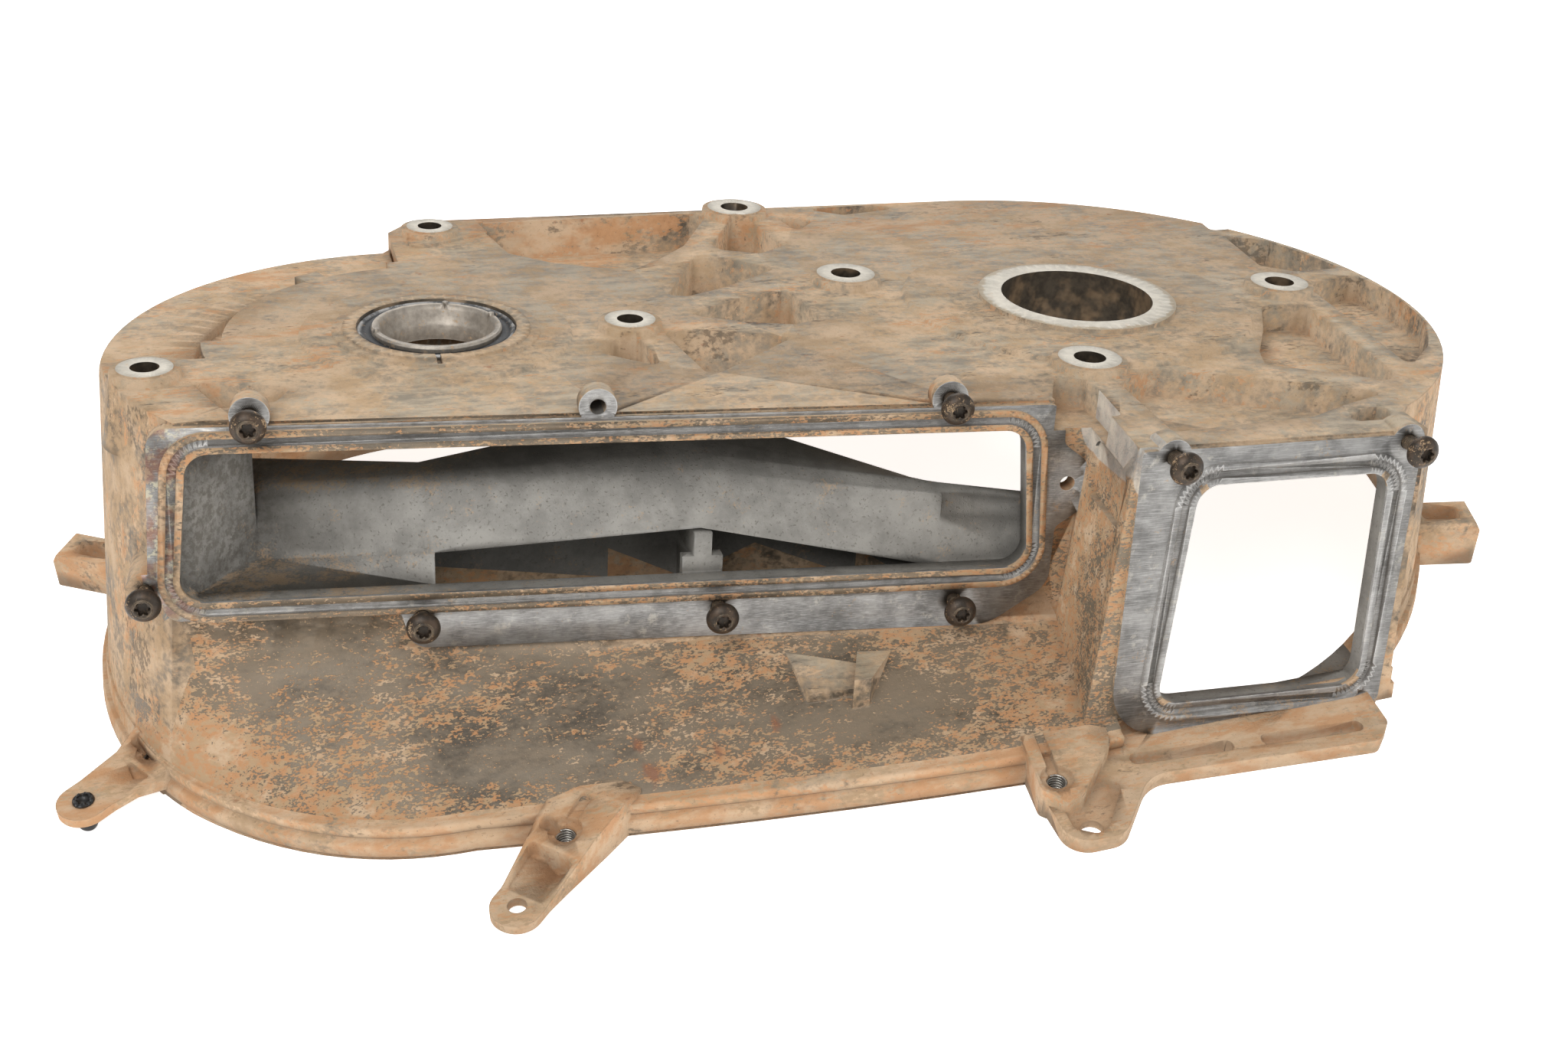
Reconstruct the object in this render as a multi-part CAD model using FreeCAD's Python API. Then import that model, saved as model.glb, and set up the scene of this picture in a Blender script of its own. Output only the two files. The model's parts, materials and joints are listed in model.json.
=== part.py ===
import FreeCAD, Part
import math, os

os.makedirs("parts", exist_ok=True)
V = FreeCAD.Vector

# Driving sizes, in millimetres. Work frame: origin on the small bore's axis at the level of
# the boss faces, X along the line of the two bores, Z along the bores.
centre_distance = 280.0
small_lobe_r = 130.0
large_lobe_r = 157.0
back_y = 150.0
draft = math.tan(math.radians(3.4))
wall = 4.5
plate_top = -4.0
plate_under = -9.5
low_band = -12.5
floor_deep = -22.0
floor_shallow = -16.0
bottom = -185.0

# The open rim lies in a plane that leans against the boss faces.
rim_depth = 134.0
rim_slope_x = 0.098
rim_slope_y = 0.18
lip_height = 14.5
lip_out = 0.8
bead_height = 7.0
bead_out = 2.5
ledge_depth = 5.0

# Bores and bosses
large_bore_r = 33.3
large_ring_r = 43.5
seal_seat_r = 32.0
seal_ring_r = 37.5
small_spot_r = 10.5
small_hole_r = 5.4
big_spot_r = 13.0
big_hole_r = 6.6
boss_length = 30.0
spot_height = 0.8

# Windows and their flanges
flange_pad = 2.0
long_angle = math.radians(-4.5)
long_y = -89.3
long_left = -100.0
long_right = 215.0
long_top = -15.0
long_bottom = -75.0
long_splay = 6.5
square_y = -156.0
square_left = 265.0
square_right = 346.0
square_top = -20.0
square_bottom = -115.0
square_splay = 4.5
ridge_w = 2.6
groove_w = 3.2
ridge_h = 1.3
box_left = 239.0
box_right = 361.0

# Flange screws and their bosses
screw_r = 2.9
screw_gap = 0.15
screw_hole_depth = 13.0
screw_in = 12.0
screw_out = 9.0
head_r = 6.5
head_h = 5.0
socket_r = 2.9
socket_depth = 2.6
boss_r = 7.2

# Feet
tip_r = 10.0
tip_thick = 4.0
tip_hole_r = 3.6
insert_at = 33.0
insert_top = 12.0
insert_r = 4.2
insert_bore_r = 3.2
right_tip = (221.0, -193.3)
right_tip_hole_r = 4.6
right_seat = (213.2, -174.5)
seat_r = 6.6
seat_top = 14.0
block_low = 13.0
block_high = 16.5
seat_gap = 0.05

BORE_A = V(0, 0, 0)
BORE_B = V(centre_distance, 0, 0)
UP = V(0, 0, 1)


def prism(points, z0, z1):
    wire = Part.makePolygon([V(x, y, z0) for x, y in points + points[:1]])
    return Part.Face(wire).extrude(V(0, 0, z1 - z0))


def rounded(points, radii, z0, z1):
    """A prism whose upright edges are rounded, one radius per corner."""
    corners = [V(x, y, z0) for x, y in points]
    edges = []
    ends = []
    count = len(corners)
    for i in range(count):
        here = corners[i]
        into = (here - corners[i - 1]).normalize()
        out = (corners[(i + 1) % count] - here).normalize()
        r = radii[i] if isinstance(radii, list) else radii
        half = into.getAngle(out) / 2
        if r <= 0 or half < 1e-3:
            ends.append((here, here, None))
            continue
        cut = r * math.tan(half)
        a = here - into * cut
        b = here + out * cut
        mid_dir = (out - into).normalize()
        mid = here + mid_dir * (r / math.cos(half) - r)
        ends.append((a, b, mid))
    for i in range(count):
        a, b, mid = ends[i]
        if mid is not None:
            edges.append(Part.Arc(a, mid, b).toShape())
        start = ends[(i + 1) % count][0]
        if (start - b).Length > 1e-6:
            edges.append(Part.makeLine(b, start))
    return Part.Face(Part.Wire(edges)).extrude(V(0, 0, z1 - z0))


def drum(r, z0, z1, at=BORE_A, r_end=None):
    base = V(at.x, at.y, z0)
    if r_end is None:
        return Part.makeCylinder(r, z1 - z0, base)
    return Part.makeCone(r, r_end, z1 - z0, base)


def turned(profile, at=BORE_A):
    wire = Part.makePolygon([V(r, 0, z) for r, z in profile + profile[:1]])
    body = Part.Face(wire).revolve(V(0, 0, 0), UP, 360)
    body.translate(at)
    return body


# Housing outline: two lobes joined at the back, two flat window faces at the front
def on_circle(centre, r, degrees):
    a = math.radians(degrees)
    return V(centre.x + r * math.cos(a), centre.y + r * math.sin(a), 0)


def long_line(x, inset):
    return V(x, long_y + inset + x * math.tan(long_angle), 0)


def chord_end(r, inset):
    """Left end of the long flange's line on a circle about the small bore."""
    t = math.tan(long_angle)
    y0 = long_y + inset
    a = 1 + t * t
    x = (-t * y0 - math.sqrt(t * t * y0 * y0 - a * (y0 * y0 - r * r))) / a
    return long_line(x, inset)


def outline(grow, inset, z):
    small = small_lobe_r + grow
    large = large_lobe_r + grow
    left = chord_end(small, inset)
    step = on_circle(BORE_A, small, 94.0)
    corner = V(6 - grow, back_y + grow, 0)
    top = V(centre_distance, large_lobe_r + grow, 0)
    side_x = box_right + grow
    side = V(side_x, -math.sqrt(large ** 2 - (side_x - centre_distance) ** 2), 0)
    front_right = V(side_x, square_y + inset, 0)
    front_left = V(box_left - grow, square_y + inset, 0)
    notch = long_line(box_left + 4 - grow, inset)
    route = [
        Part.Arc(left, on_circle(BORE_A, small, 155.0), step),
        Part.LineSegment(step, corner),
        Part.LineSegment(corner, top),
        Part.Arc(top, on_circle(BORE_B, large, 15.0), side),
        Part.LineSegment(side, front_right),
        Part.LineSegment(front_right, front_left),
        Part.LineSegment(front_left, notch),
        Part.LineSegment(notch, left),
    ]
    wire = Part.Wire([g.toShape() for g in route])
    wire.translate(V(0, 0, z))
    return wire


# Below the long window the wall runs out to the rim
bulge_top = -98.0
bulge_front = -204.0


def bulge(grow, inset, drop, ledge=0.0):
    """Ruled wall from the window's straight line down to the round rim, ledge behind it."""
    top_z = bulge_top - drop
    back = [V(box_left + 8, -60, 0), V(-90, -30, 0)]
    high = [on_circle(BORE_A, 134.5 + grow, 203), on_circle(BORE_A, 133 + grow, 210)]
    start = inset + 1.5
    high += [long_line(-104 - grow, start), long_line(-50, start), long_line(-5, start)]
    high += [long_line(box_left + 8, start)] + back
    rim = ((139, 203, 0), (139.5, 212, 0.2), (140, 221, 0.4), (142.5, 243, 0.8), (146, 268, 1))
    low = [on_circle(BORE_A, r + grow - share * ledge, a) for r, a, share in rim]
    low += [V(box_left + 8, bulge_front - grow + ledge, 0)] + back
    wires = []
    for pts, z in ((high, top_z), (low, bottom + 15)):
        edges = [Part.Arc(pts[0], pts[1], pts[2]).toShape()]
        if pts is low:
            edges.append(Part.Arc(pts[2], pts[3], pts[4]).toShape())
        else:
            edges.append(Part.makeLine(pts[2], pts[4]))
        for a, b in zip(pts[4:], pts[5:] + pts[:1]):
            edges.append(Part.makeLine(a, b))
        wire = Part.Wire(edges)
        wire.translate(V(0, 0, z))
        wires.append(wire)
    return Part.makeLoft(wires, True, True)


def hull(grow, inset, top):
    """The housing's outer form, or with a negative grow the space inside it."""
    upper = outline(grow, inset, top)
    lower = outline(grow + draft * (top - bottom), inset, bottom)
    return Part.makeLoft([upper, lower], True, True)


outer = hull(0, flange_pad, plate_top).fuse(bulge(0, flange_pad, 0, ledge_depth))
inner = hull(-wall, flange_pad + wall, plate_under)
inner = inner.fuse(bulge(-wall, flange_pad + wall, 4, ledge_depth))
lip = hull(lip_out, flange_pad, plate_top).fuse(bulge(lip_out, flange_pad, 0))
bead = hull(bead_out, flange_pad, plate_top).fuse(bulge(bead_out, flange_pad, 0))

# Pockets in the top plate, each named for where it lies
pockets_deep = [
    [(36, 143), (142, 149), (146, 141), (126, 100), (112, 84), (94, 67), (62, 82), (44, 98)],
    [(157, 134), (139, 100), (142, 92), (159, 85), (173, 95), (168, 130)],
    [(125, 80), (103, 34), (111, 31), (131, 41), (160, 63), (137, 82)],
    [(107, 8), (116, 15), (134, 26), (157, 33), (162, -4), (148, -9), (127, -3)],
    [(91, -11), (108, -10), (143, -24), (104, -58), (98, -58)],
    [(61, -31), (70, -16), (80, -17), (83, -50), (74, -42)],
    [(181, 139), (198, 131), (185, 115)],
    [(196, 152), (262, 151), (216, 139)],
]
pockets_shallow = [
    [(400, 10), (432, 22), (436, -4), (431, -39), (414, -70), (392, -92)],
    [(364, -14), (386, -14), (381, -98), (374, -105), (330, -81), (336, -64), (350, -42)],
    [(259, -92), (280, -78), (366, -117), (340, -127), (322, -136), (259, -142)],
    [(330, -143), (345, -132), (358, -130), (352, -143)],
    [(236, -80), (246, -86), (248, -98), (246, -124), (226, -122), (226, -102)],
    [(396, 116), (413, 97), (394, 95)],
    [(396, 85), (416, 75), (431, 32), (405, 30), (392, 40)],
    [(-97, -40), (-60, -50), (-66, -63), (-86, -68)],
]


def grown(points, by):
    """The same polygon with every side moved outward."""
    count = len(points)
    area = sum(points[i - 1][0] * points[i][1] - points[i][0] * points[i - 1][1] for i in range(count))
    sign = 1 if area > 0 else -1
    sides = []
    for i in range(count):
        (x0, y0), (x1, y1) = points[i - 1], points[i]
        length = math.hypot(x1 - x0, y1 - y0)
        nx = sign * (y1 - y0) / length
        ny = -sign * (x1 - x0) / length
        sides.append((nx, ny, nx * x0 + ny * y0 + by))
    moved = []
    for i in range(count):
        a0, b0, c0 = sides[i]
        a1, b1, c1 = sides[(i + 1) % count]
        det = a0 * b1 - a1 * b0
        moved.append(((c0 * b1 - c1 * b0) / det, (a0 * c1 - a1 * c0) / det))
    return moved


def pocket_tools(points, floor):
    cut = rounded(points, 3.0, floor, 5)
    skirt = rounded(grown(points, wall - 1), 4.0, floor - wall + 1, plate_top - 1)
    return cut, skirt


cuts = []
skirts = []
for floor, group in ((floor_deep, pockets_deep), (floor_shallow, pockets_shallow)):
    for points in group:
        cut, skirt = pocket_tools(points, floor)
        cuts.append(cut)
        skirts.append(skirt)

# The small lobe's outer band is lower than its middle, with arc slots between
band = drum(small_lobe_r + 6, low_band, 5).cut(drum(92, low_band - 1, 6))
band = band.cut(prism([(-6, -160), (200, -160), (200, 160), (-6, 160)], low_band - 2, 7))
band = band.cut(prism([(-160, -16), (200, -16), (200, -160), (-160, -160)], low_band - 2, 7))
cuts.append(band)
under_band = band.copy()
under_band.translate(V(0, 0, -wall))
skirts.append(under_band)


def arc_slot(r0, r1, start, end, floor, top):
    ring = drum(r1, floor, top).cut(drum(r0, floor - 1, top + 1))
    wedge = Part.makeCylinder(r1 + 20, 60, V(0, 0, -40), UP, end - start)
    wedge.rotate(V(0, 0, 0), UP, start)
    return ring.common(wedge)


for start, end in ((124, 178), (97, 117)):
    cuts.append(arc_slot(84, 95, start, end, floor_shallow, 5))
    skirts.append(arc_slot(80, 99, start - 3, end + 3, floor_shallow - wall, plate_top - 1))

# Bosses: a few at the smaller size, the rest at the larger
small_bosses = [V(-112.5, -32.5, 0), V(12.6, 130, 0), V(78.6, -4, 0)]
big_bosses = [V(161.6, 145, 0), V(186.3, 42, 0), V(254.5, -72.5, 0), V(383.4, 6.5, 0)]
adds = []
holes = []
for group, spot, hole in ((small_bosses, small_spot_r, small_hole_r),
                          (big_bosses, big_spot_r, big_hole_r)):
    for at in group:
        adds.append(drum(spot + 7, -boss_length, -spot_height, at, spot + 2.5))
        adds.append(drum(spot, -2, 0, at))
        through = 0 if at.y > back_y - 10 else 30
        holes.append(drum(hole, -boss_length - through, 2, at))

# The block that carries the boss at the back corner
adds.append(rounded([(-1, 104), (40, 128), (40, 146), (6, 146)], 6.0, -30, -3))

# Bores with their raised rings
adds.append(drum(large_ring_r + 14, -30, -2, BORE_B, large_ring_r + 9))
adds.append(drum(large_ring_r, -4, 0, BORE_B))
adds.append(drum(82, -14, -2.2, BORE_B, 76))
holes.append(drum(large_bore_r, -40, 2, BORE_B))
adds.append(drum(60, -14, -2.6, BORE_A, 54))
adds.append(drum(seal_ring_r + 8, -28, -1.6, BORE_A, seal_ring_r + 4))
adds.append(drum(seal_ring_r, -4, -0.6, BORE_A))
holes.append(drum(seal_seat_r, -16, 2, BORE_A))
holes.append(drum(seal_seat_r - 3, -40, 2, BORE_A))
holes.append(prism([(-4.5, -40), (-2.5, -40), (-2.5, -30), (-4.5, -30)], -3.2, 1))


# Flange faces are drawn flat, then stood up in their planes
def stand(shape, window):
    """Local X along the flange, local Y up, local Z outward."""
    shape = shape.copy()
    shape.rotate(V(0, 0, 0), V(1, 0, 0), 90)
    if window == "long":
        shape.rotate(V(0, 0, 0), UP, math.degrees(long_angle))
        shape.translate(V(0, long_y, 0))
    else:
        shape.translate(V(0, square_y, 0))
    return shape


def window_points(window, out):
    if window == "long":
        l, r, t, b, s = long_left, long_right, long_top, long_bottom, long_splay
    else:
        l, r, t, b, s = square_left, square_right, square_top, square_bottom, square_splay
    return [(l - out, t + out), (l - s - out, b - out), (r + s + out, b - out), (r + out, t + out)]


def window_ring(window, a, b, z0, z1):
    big = rounded(window_points(window, b), 9.0 + b, z0, z1)
    return big.cut(rounded(window_points(window, a), 9.0 + a, z0 - 1, z1 + 1))


pad_long = rounded(
    [(-113, -5), (-117, -66), (-110, -83), (-26, -83), (-22, -99), (208, -101),
     (232, -84), (232, -58), (243, -50), (243, -30), (232, -22), (231, -5)],
    [8, 3, 6, 4, 8, 20, 12, 4, 8, 8, 4, 8], -flange_pad - 3, 0)
pad_square = rounded(
    [(box_left + 1, plate_top - 1), (box_left + 3, -129), (box_right + 1.5, -131),
     (box_right - 2.5, plate_top - 1)], [2, 24, 8, 2], -flange_pad - 3, 0)
flange_adds = [stand(pad_long, "long"), stand(pad_square, "square")]
for window in ("long", "square"):
    inner_ridge = window_ring(window, 0, ridge_w, -4, ridge_h)
    outer_ridge = window_ring(window, ridge_w + groove_w, 2 * ridge_w + groove_w, -4, ridge_h)
    flange_adds += [stand(inner_ridge, window), stand(outer_ridge, window)]

# Teeth where the milled face runs out into the wall
tooth_pitch = 15.9
tooth_first = -103.0
for i in range(6):
    x = tooth_first + i * tooth_pitch
    tooth = rounded([(x - 4.5, -80), (x - 2.2, -89), (x + 2.2, -89), (x + 4.5, -80)], 1.8, -6, -0.3)
    flange_adds.append(stand(tooth, "long"))

# Screw bosses: place along the flange, height, how far back they run, is a screw in it
long_bosses = [(-77, -1, 15, 1), (48, -1, 15, 0), (183.5, -1.5, 15, 1), (235, -39, 16, 0),
               (-118, -70, 34, 1), (-18, -85, 12, 1), (96.5, -87, 12, 1), (192.7, -89, 12, 1)]
square_bosses = [(253, -8, 18, 1), (352, -8, 18, 1)]
screw_places = []
for window, group in (("long", long_bosses), ("square", square_bosses)):
    for x, z, back, filled in group:
        straight = back if back < 13 else back - 8
        post = Part.makeCylinder(boss_r, straight, V(x, z, -straight))
        if back > 12:
            post = post.fuse(Part.makeCone(3.0, boss_r, 8, V(x, z, -straight - 8)))
        flange_adds.append(stand(post, window))
        hole_r = screw_r + screw_gap
        holes.append(stand(Part.makeCylinder(hole_r, screw_hole_depth + 4, V(x, z, -screw_hole_depth)), window))
        if filled:
            screw_places.append((x, z, window))

# Windows cut through, the little recess in the wall between them
openings = []
for window in ("long", "square"):
    openings.append(stand(rounded(window_points(window, 0), 9.0, -wall - flange_pad - 0.3, 6), window))
recess = rounded([(-148, -40), (-148, -17), (-113, -17), (-113, -40)], 5.0, -3, 9)
recess.rotate(V(0, 0, 0), V(1, 0, 0), 90)
recess.rotate(V(0, 0, 0), UP, 90)
recess.rotate(V(0, -130, 0), UP, -4.7)
recess.translate(V(box_left - 6.6, 0, 0))


# Lean of the rim plane: this turn and drop put the rim flat on Z = 0
normal = V(-rim_slope_x, -rim_slope_y, 1).normalize()
x_dir = (V(1, 0, 0) - normal * normal.x).normalize()
y_dir = normal.cross(x_dir)
origin = V(0, 0, -rim_depth)
to_rest = FreeCAD.Matrix(
    x_dir.x, x_dir.y, x_dir.z, -x_dir.dot(origin),
    y_dir.x, y_dir.y, y_dir.z, -y_dir.dot(origin),
    normal.x, normal.y, normal.z, -normal.dot(origin),
    0, 0, 0, 1)

# Air duct behind the long window: floor, slanted end wall, humped inner wall, pocket and post
def between(a, b, share):
    return (a[0] + (b[0] - a[0]) * share, a[1] + (b[1] - a[1]) * share)


def section(x, base, knee, end, thick):
    soft = [between(knee, base, 0.38), between(knee, base, 0.12)]
    soft += [between(knee, end, 0.15), between(knee, end, 0.45)]
    pts = [base] + soft + [end]
    under = [(end[0], end[1] - thick), (knee[0] + thick, knee[1] - thick), (base[0] + thick + 1, base[1])]
    loop = pts + under
    return Part.makePolygon([V(x, y, z) for y, z in loop + loop[:1]])


hump = [
    section(-78, (-46, -77), (-41, -49), (-20, -45), 4),
    section(-14, (-80.7, -62.5), (-68, -37), (-50, -38), 4),
    section(90, (-89, -56), (-72, -35), (-48, -21), 4),
    section(188, (-96.6, -77.5), (-88, -44), (-72, -51), 4),
    section(232, (-100, -79), (-94, -49), (-84, -57), 4),
]
pocket_back = [(-12, -59), (60, -57), (120, -62), (160, -74), (188, -92)]
pocket_front = [(188, -100), (-12, -84)]
duct_floor = prism([(-108, -78), (-14, -84), (232, -103), (232, -80), (60, -52), (-14, -50),
                    (-66, -40), (-84, -44)], -79.5, -75.5)
pocket_shell = prism(grown(pocket_back + pocket_front, 4), -95, -76)
pocket_wall = prism(pocket_back[:3] + [(120, -58), (60, -53), (-12, -55)], -78, -38)
pocket_wall = pocket_wall.fuse(prism(pocket_back[2:] + [(188, -88), (160, -70), (120, -58)], -78, -48))
post = prism([(83, -93), (99, -94), (99, -85), (94, -85), (94, -56), (88, -56),
              (88, -85), (83, -85)], -95, -68)
post = post.fuse(prism([(87.5, -93), (94.5, -93.5), (94.5, -56), (87.5, -56)], -70, -58))
pocket_room = prism(pocket_back + pocket_front, -91, -74)
duct = [Part.makeLoft(hump, True, True), duct_floor.fuse(pocket_shell).cut(pocket_room), pocket_wall, post]
duct.append(prism([(-108, -76), (-80, -42), (-76, -45), (-103, -79)], -79.5, plate_under + 1))
cheek = Part.makePolygon([V(-78, -46, -77), V(-12, -82, -62), V(-12, -82, -79.5),
                          V(-78, -46, -79.5), V(-78, -46, -77)])
duct.append(Part.Face(cheek).extrude(V(0, 4, 0)))
duct.append(prism([(-16, -79), (-12, -80), (-12, -55), (-16, -55)], -79, -61))

# Floor of the short duct behind the square window, ending at the round chamber
sill_height = 6.0
sill = prism([(box_left + 2, square_y + 3), (box_right + 1, square_y + 3), (box_right + 40, -100),
              (box_right + 40, -60), (box_left + 2, -60)], bottom, -60)
sill_slab = Part.makeBox(900, 900, 60 + sill_height, V(-300, -450, -60))
sill_slab.transformShape(to_rest.inverse())
sill = sill.common(sill_slab).cut(drum(150, bottom - 1, 0, BORE_B))

# Side wall between the window box and the long duct
divider = prism([(box_left - 7, -130), (box_left + 5, -130), (box_left + 5, -100), (box_left - 7, -100)],
                bottom, plate_under + 1)

# Ledge with one gusset on the sloping wall
ledge = Part.makePolygon([V(118, y, z) for y, z in
                          [(-90, -100), (-126, -113), (-126, -117), (-112, -130), (-90, -130), (-90, -100)]])
ledge = Part.Face(ledge).extrude(V(42, 0, 0))
gusset = prism([(158, -90), (176, -96), (150, -131), (143, -131)], -150, -106)
under = Part.makeBox(300, 200, 100, V(0, -260, -106))
under.rotate(V(0, -92, -100), V(1, 0, 0), 18)
ledge_cut = prism([(100, -90), (119, -90), (128, -135), (100, -135)], -160, -90)
ledge = ledge.cut(ledge_cut)
ledge = ledge.cut(prism([(148, -132), (166, -90), (180, -90), (180, -132)], -160, -90))
gusset = gusset.common(under)

# Put the casting together in the work frame
body = outer
for extra in adds + flange_adds + [ledge, gusset]:
    body = body.fuse(extra)
body = body.cut(cuts)
inside = inner.cut(skirts + adds)
inside = inside.cut(duct + [sill, divider])
body = body.cut(inside)
body = body.cut(openings + holes + [recess])

def rest(shape):
    moved = shape.copy()
    moved.transformShape(to_rest)
    return moved


def plan(x, y):
    """Where a work frame plan point of the rim plane lies in the resting frame."""
    z = -rim_depth + rim_slope_x * x + rim_slope_y * y
    return to_rest.multVec(V(x, y, z))


lip_slab = Part.makeBox(900, 900, lip_height, V(-300, -450, 0))
bead_slab = Part.makeBox(900, 900, bead_height, V(-300, -450, 0))
above = Part.makeBox(1200, 1200, 400, V(-500, -600, 0))
casting = rest(body).common(above)
lip_ring = rest(lip).common(lip_slab).fuse(rest(bead).common(bead_slab)).cut(rest(inner))
casting = casting.fuse(lip_ring)


# Feet and ears stand on the rim plane and point away from the wall
def foot(root, tip, width, rise, lift):
    a = plan(*root)
    b = plan(*tip)
    reach = (a - b).Length
    half = width / 2.0
    plan_pts = [(-tip_r, -tip_r), (tip_r * 0.6, -tip_r), (reach, -half), (reach, half),
                (tip_r * 0.6, tip_r), (-tip_r, tip_r)]
    shape = rounded(plan_pts, [tip_r - 0.4, 12, 0, 0, 12, tip_r - 0.4], 0, 60)
    tread = lift + tip_thick
    side = [(-20, lift), (16, lift), (40, 0), (reach, 0), (reach, rise), (52, rise),
            (insert_at, insert_top + 2.5), (25, insert_top - 0.5), (4, tread), (-20, tread)]
    wire = Part.makePolygon([V(u, -40, z) for u, z in side + side[:1]])
    shape = shape.common(Part.Face(wire).extrude(V(0, 80, 0)))
    trough = [(5, -tip_r + 2.6), (23, -half * 0.66), (25, half * 0.66), (5, tip_r - 2.6)]
    shape = shape.cut(rounded(trough, 2.2, tread, 60))
    shape = shape.cut(rounded([(19, -half * 0.3), (24, -half * 0.6), (25, half * 0.5)], 1.2, tread - 2.5, 60))
    shape = shape.cut(Part.makeCylinder(tip_hole_r, 80, V(0, 0, -10)))
    shape = shape.cut(Part.makeCylinder(seat_r, 80, V(insert_at, 0, insert_top)))
    shape = shape.cut(rounded([(insert_at - 3, 3), (insert_at + 3, 3), (insert_at + 3, 10.5),
                               (insert_at - 3, 10.5)], 1.8, insert_top - 5, 80))
    shape = shape.cut(rounded([(insert_at + 5, -2), (insert_at + 17, -2), (insert_at + 17, 3),
                               (insert_at + 5, 3)], 1.8, insert_top + 2, 80))
    shape.rotate(V(0, 0, 0), UP, math.degrees(math.atan2(a.y - b.y, a.x - b.x)))
    shape.translate(V(b.x, b.y, 0))
    return shape, b, (a - b).normalize()


feet = [
    ((46.5, -130.5), (4.6, -174.5), 31, 18, 1.0),
    ((-96.5, -49), (-145.5, -86.5), 34, 23, 8.0),
]
inserts = []
clip_at = None
parts_on = []
for root, tip, width, rise, lift in feet:
    shape, at, inward = foot(root, tip, width, rise, lift)
    parts_on.append(shape)
    spot = at + inward * insert_at
    inserts.append(Part.makeCylinder(insert_r - seat_gap, 10, V(spot.x, spot.y, insert_top - 11)))
    if lift > 5:
        clip_at = V(at.x, at.y, lift)


def ear(root, tip, width, height):
    a = plan(*root)
    b = plan(*tip)
    reach = (a - b).Length
    block = rounded([(0, -width / 2), (reach, -width / 2), (reach, width / 2), (0, width / 2)],
                    [2.5, 0, 0, 2.5], 0, height)
    side = [(0, 0), (reach, 0), (reach, height), (3.5, height), (0, height - 6)]
    wire = Part.makePolygon([V(u, -40, z) for u, z in side + side[:1]])
    block = block.common(Part.Face(wire).extrude(V(0, 80, 0)))
    block = block.cut(rounded([(9, -width / 2 + 3.5), (26, -width / 2 + 3.5), (26, width / 2 - 3.5),
                               (9, width / 2 - 3.5)], 2.0, height - 10, height + 8))
    block.rotate(V(0, 0, 0), UP, math.degrees(math.atan2(a.y - b.y, a.x - b.x)))
    block.translate(V(b.x, b.y, 0))
    return block


parts_on.append(ear((-125, 54), (-156.5, 73), 16.5, 17))
parts_on.append(ear((415, -68.5), (452, -76.4), 16, 23))

# Slotted shelf under the square window, running into a thin foot at its left end
shelf_top = 7.0
thin_foot = 3.5
shelf_plan = [(205, -140), (209.5, -201.5), (231.5, -201.5), (252, -175), (349, -181.5), (357, -173), (358, -140)]
shelf = [plan(*p) for p in shelf_plan]
plate = rounded([(p.x, p.y) for p in shelf], [0, 10.5, 10.5, 16, 5, 5, 0], 0, shelf_top)
tip = plan(*right_tip)
plate = plate.cut(Part.makeCylinder(right_tip_hole_r, 40, V(tip.x, tip.y, -5)))
trough = [plan(*p) for p in ((213, -183), (213, -194), (221, -199), (227, -196), (240, -177), (232, -172))]
plate = plate.cut(rounded([(p.x, p.y) for p in trough], 3.0, thin_foot, 40))
parts_on.append(plate)

# Tall block over that foot, its top sloping down to a round milled seat
block_plan = ((207.5, -140), (205.4, -178), (213.3, -186), (221, -183), (240, -163), (243, -140))
block = [plan(*p) for p in block_plan]
block = rounded([(p.x, p.y) for p in block], [0, 3, 3, 8, 8, 0], 0, 40)
seat = plan(*right_seat)
slope = [(-25, -1), (-25, block_low - 1), (-6, block_low + 1), (20, block_high), (40, block_high), (40, -1)]
slope = Part.Face(Part.makePolygon([V(-30, y, z) for y, z in slope + slope[:1]]))
slope = slope.extrude(V(70, 0, 0))
slope.translate(V(seat.x, seat.y, 0))
block = block.common(slope)
block = block.cut(Part.makeCylinder(seat_r, 40, V(seat.x, seat.y, seat_top - 1)))
valley = rounded([(-2.2, 2), (2.2, 2), (3.2, 32), (-0.6, 32)], 1.5, seat_top - 2, 40)
valley.translate(V(seat.x, seat.y, 0))
block = block.cut(valley)
parts_on.append(block)
inserts.append(Part.makeCylinder(insert_r - seat_gap, 10, V(seat.x, seat.y, seat_top - 11)))

# Nothing that stands on the wall may reach into the belt chamber
chamber = rest(inner)
casting = casting.fuse([part.cut(chamber) for part in parts_on])
slots = []
for (x0, y0), (x1, y1) in (((248, -165.5), (291, -168.5)), ((303, -169), (346, -172))):
    a = plan(x0, y0)
    b = plan(x1, y1)
    length = (b - a).Length
    slot = rounded([(0, -3), (length, -3), (length, 3), (0, 3)], 2.9, -1, 40)
    slot.rotate(V(0, 0, 0), UP, math.degrees(math.atan2(b.y - a.y, b.x - a.x)))
    slot.translate(V(a.x, a.y, 0))
    slots.append(slot)
casting = casting.cut(slots)
for spot in inserts:
    centre = spot.CenterOfMass
    casting = casting.cut(Part.makeCylinder(insert_r, 60, V(centre.x, centre.y, -1)))
casting = max(casting.Solids, key=lambda s: s.Volume)

# Screws, all of one size, each backed out of its boss
lobes = []
for k in range(12):
    r = socket_r if k % 2 == 0 else socket_r * 0.72
    a = math.radians(30 * k)
    lobes.append((r * math.cos(a), r * math.sin(a)))


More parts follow.
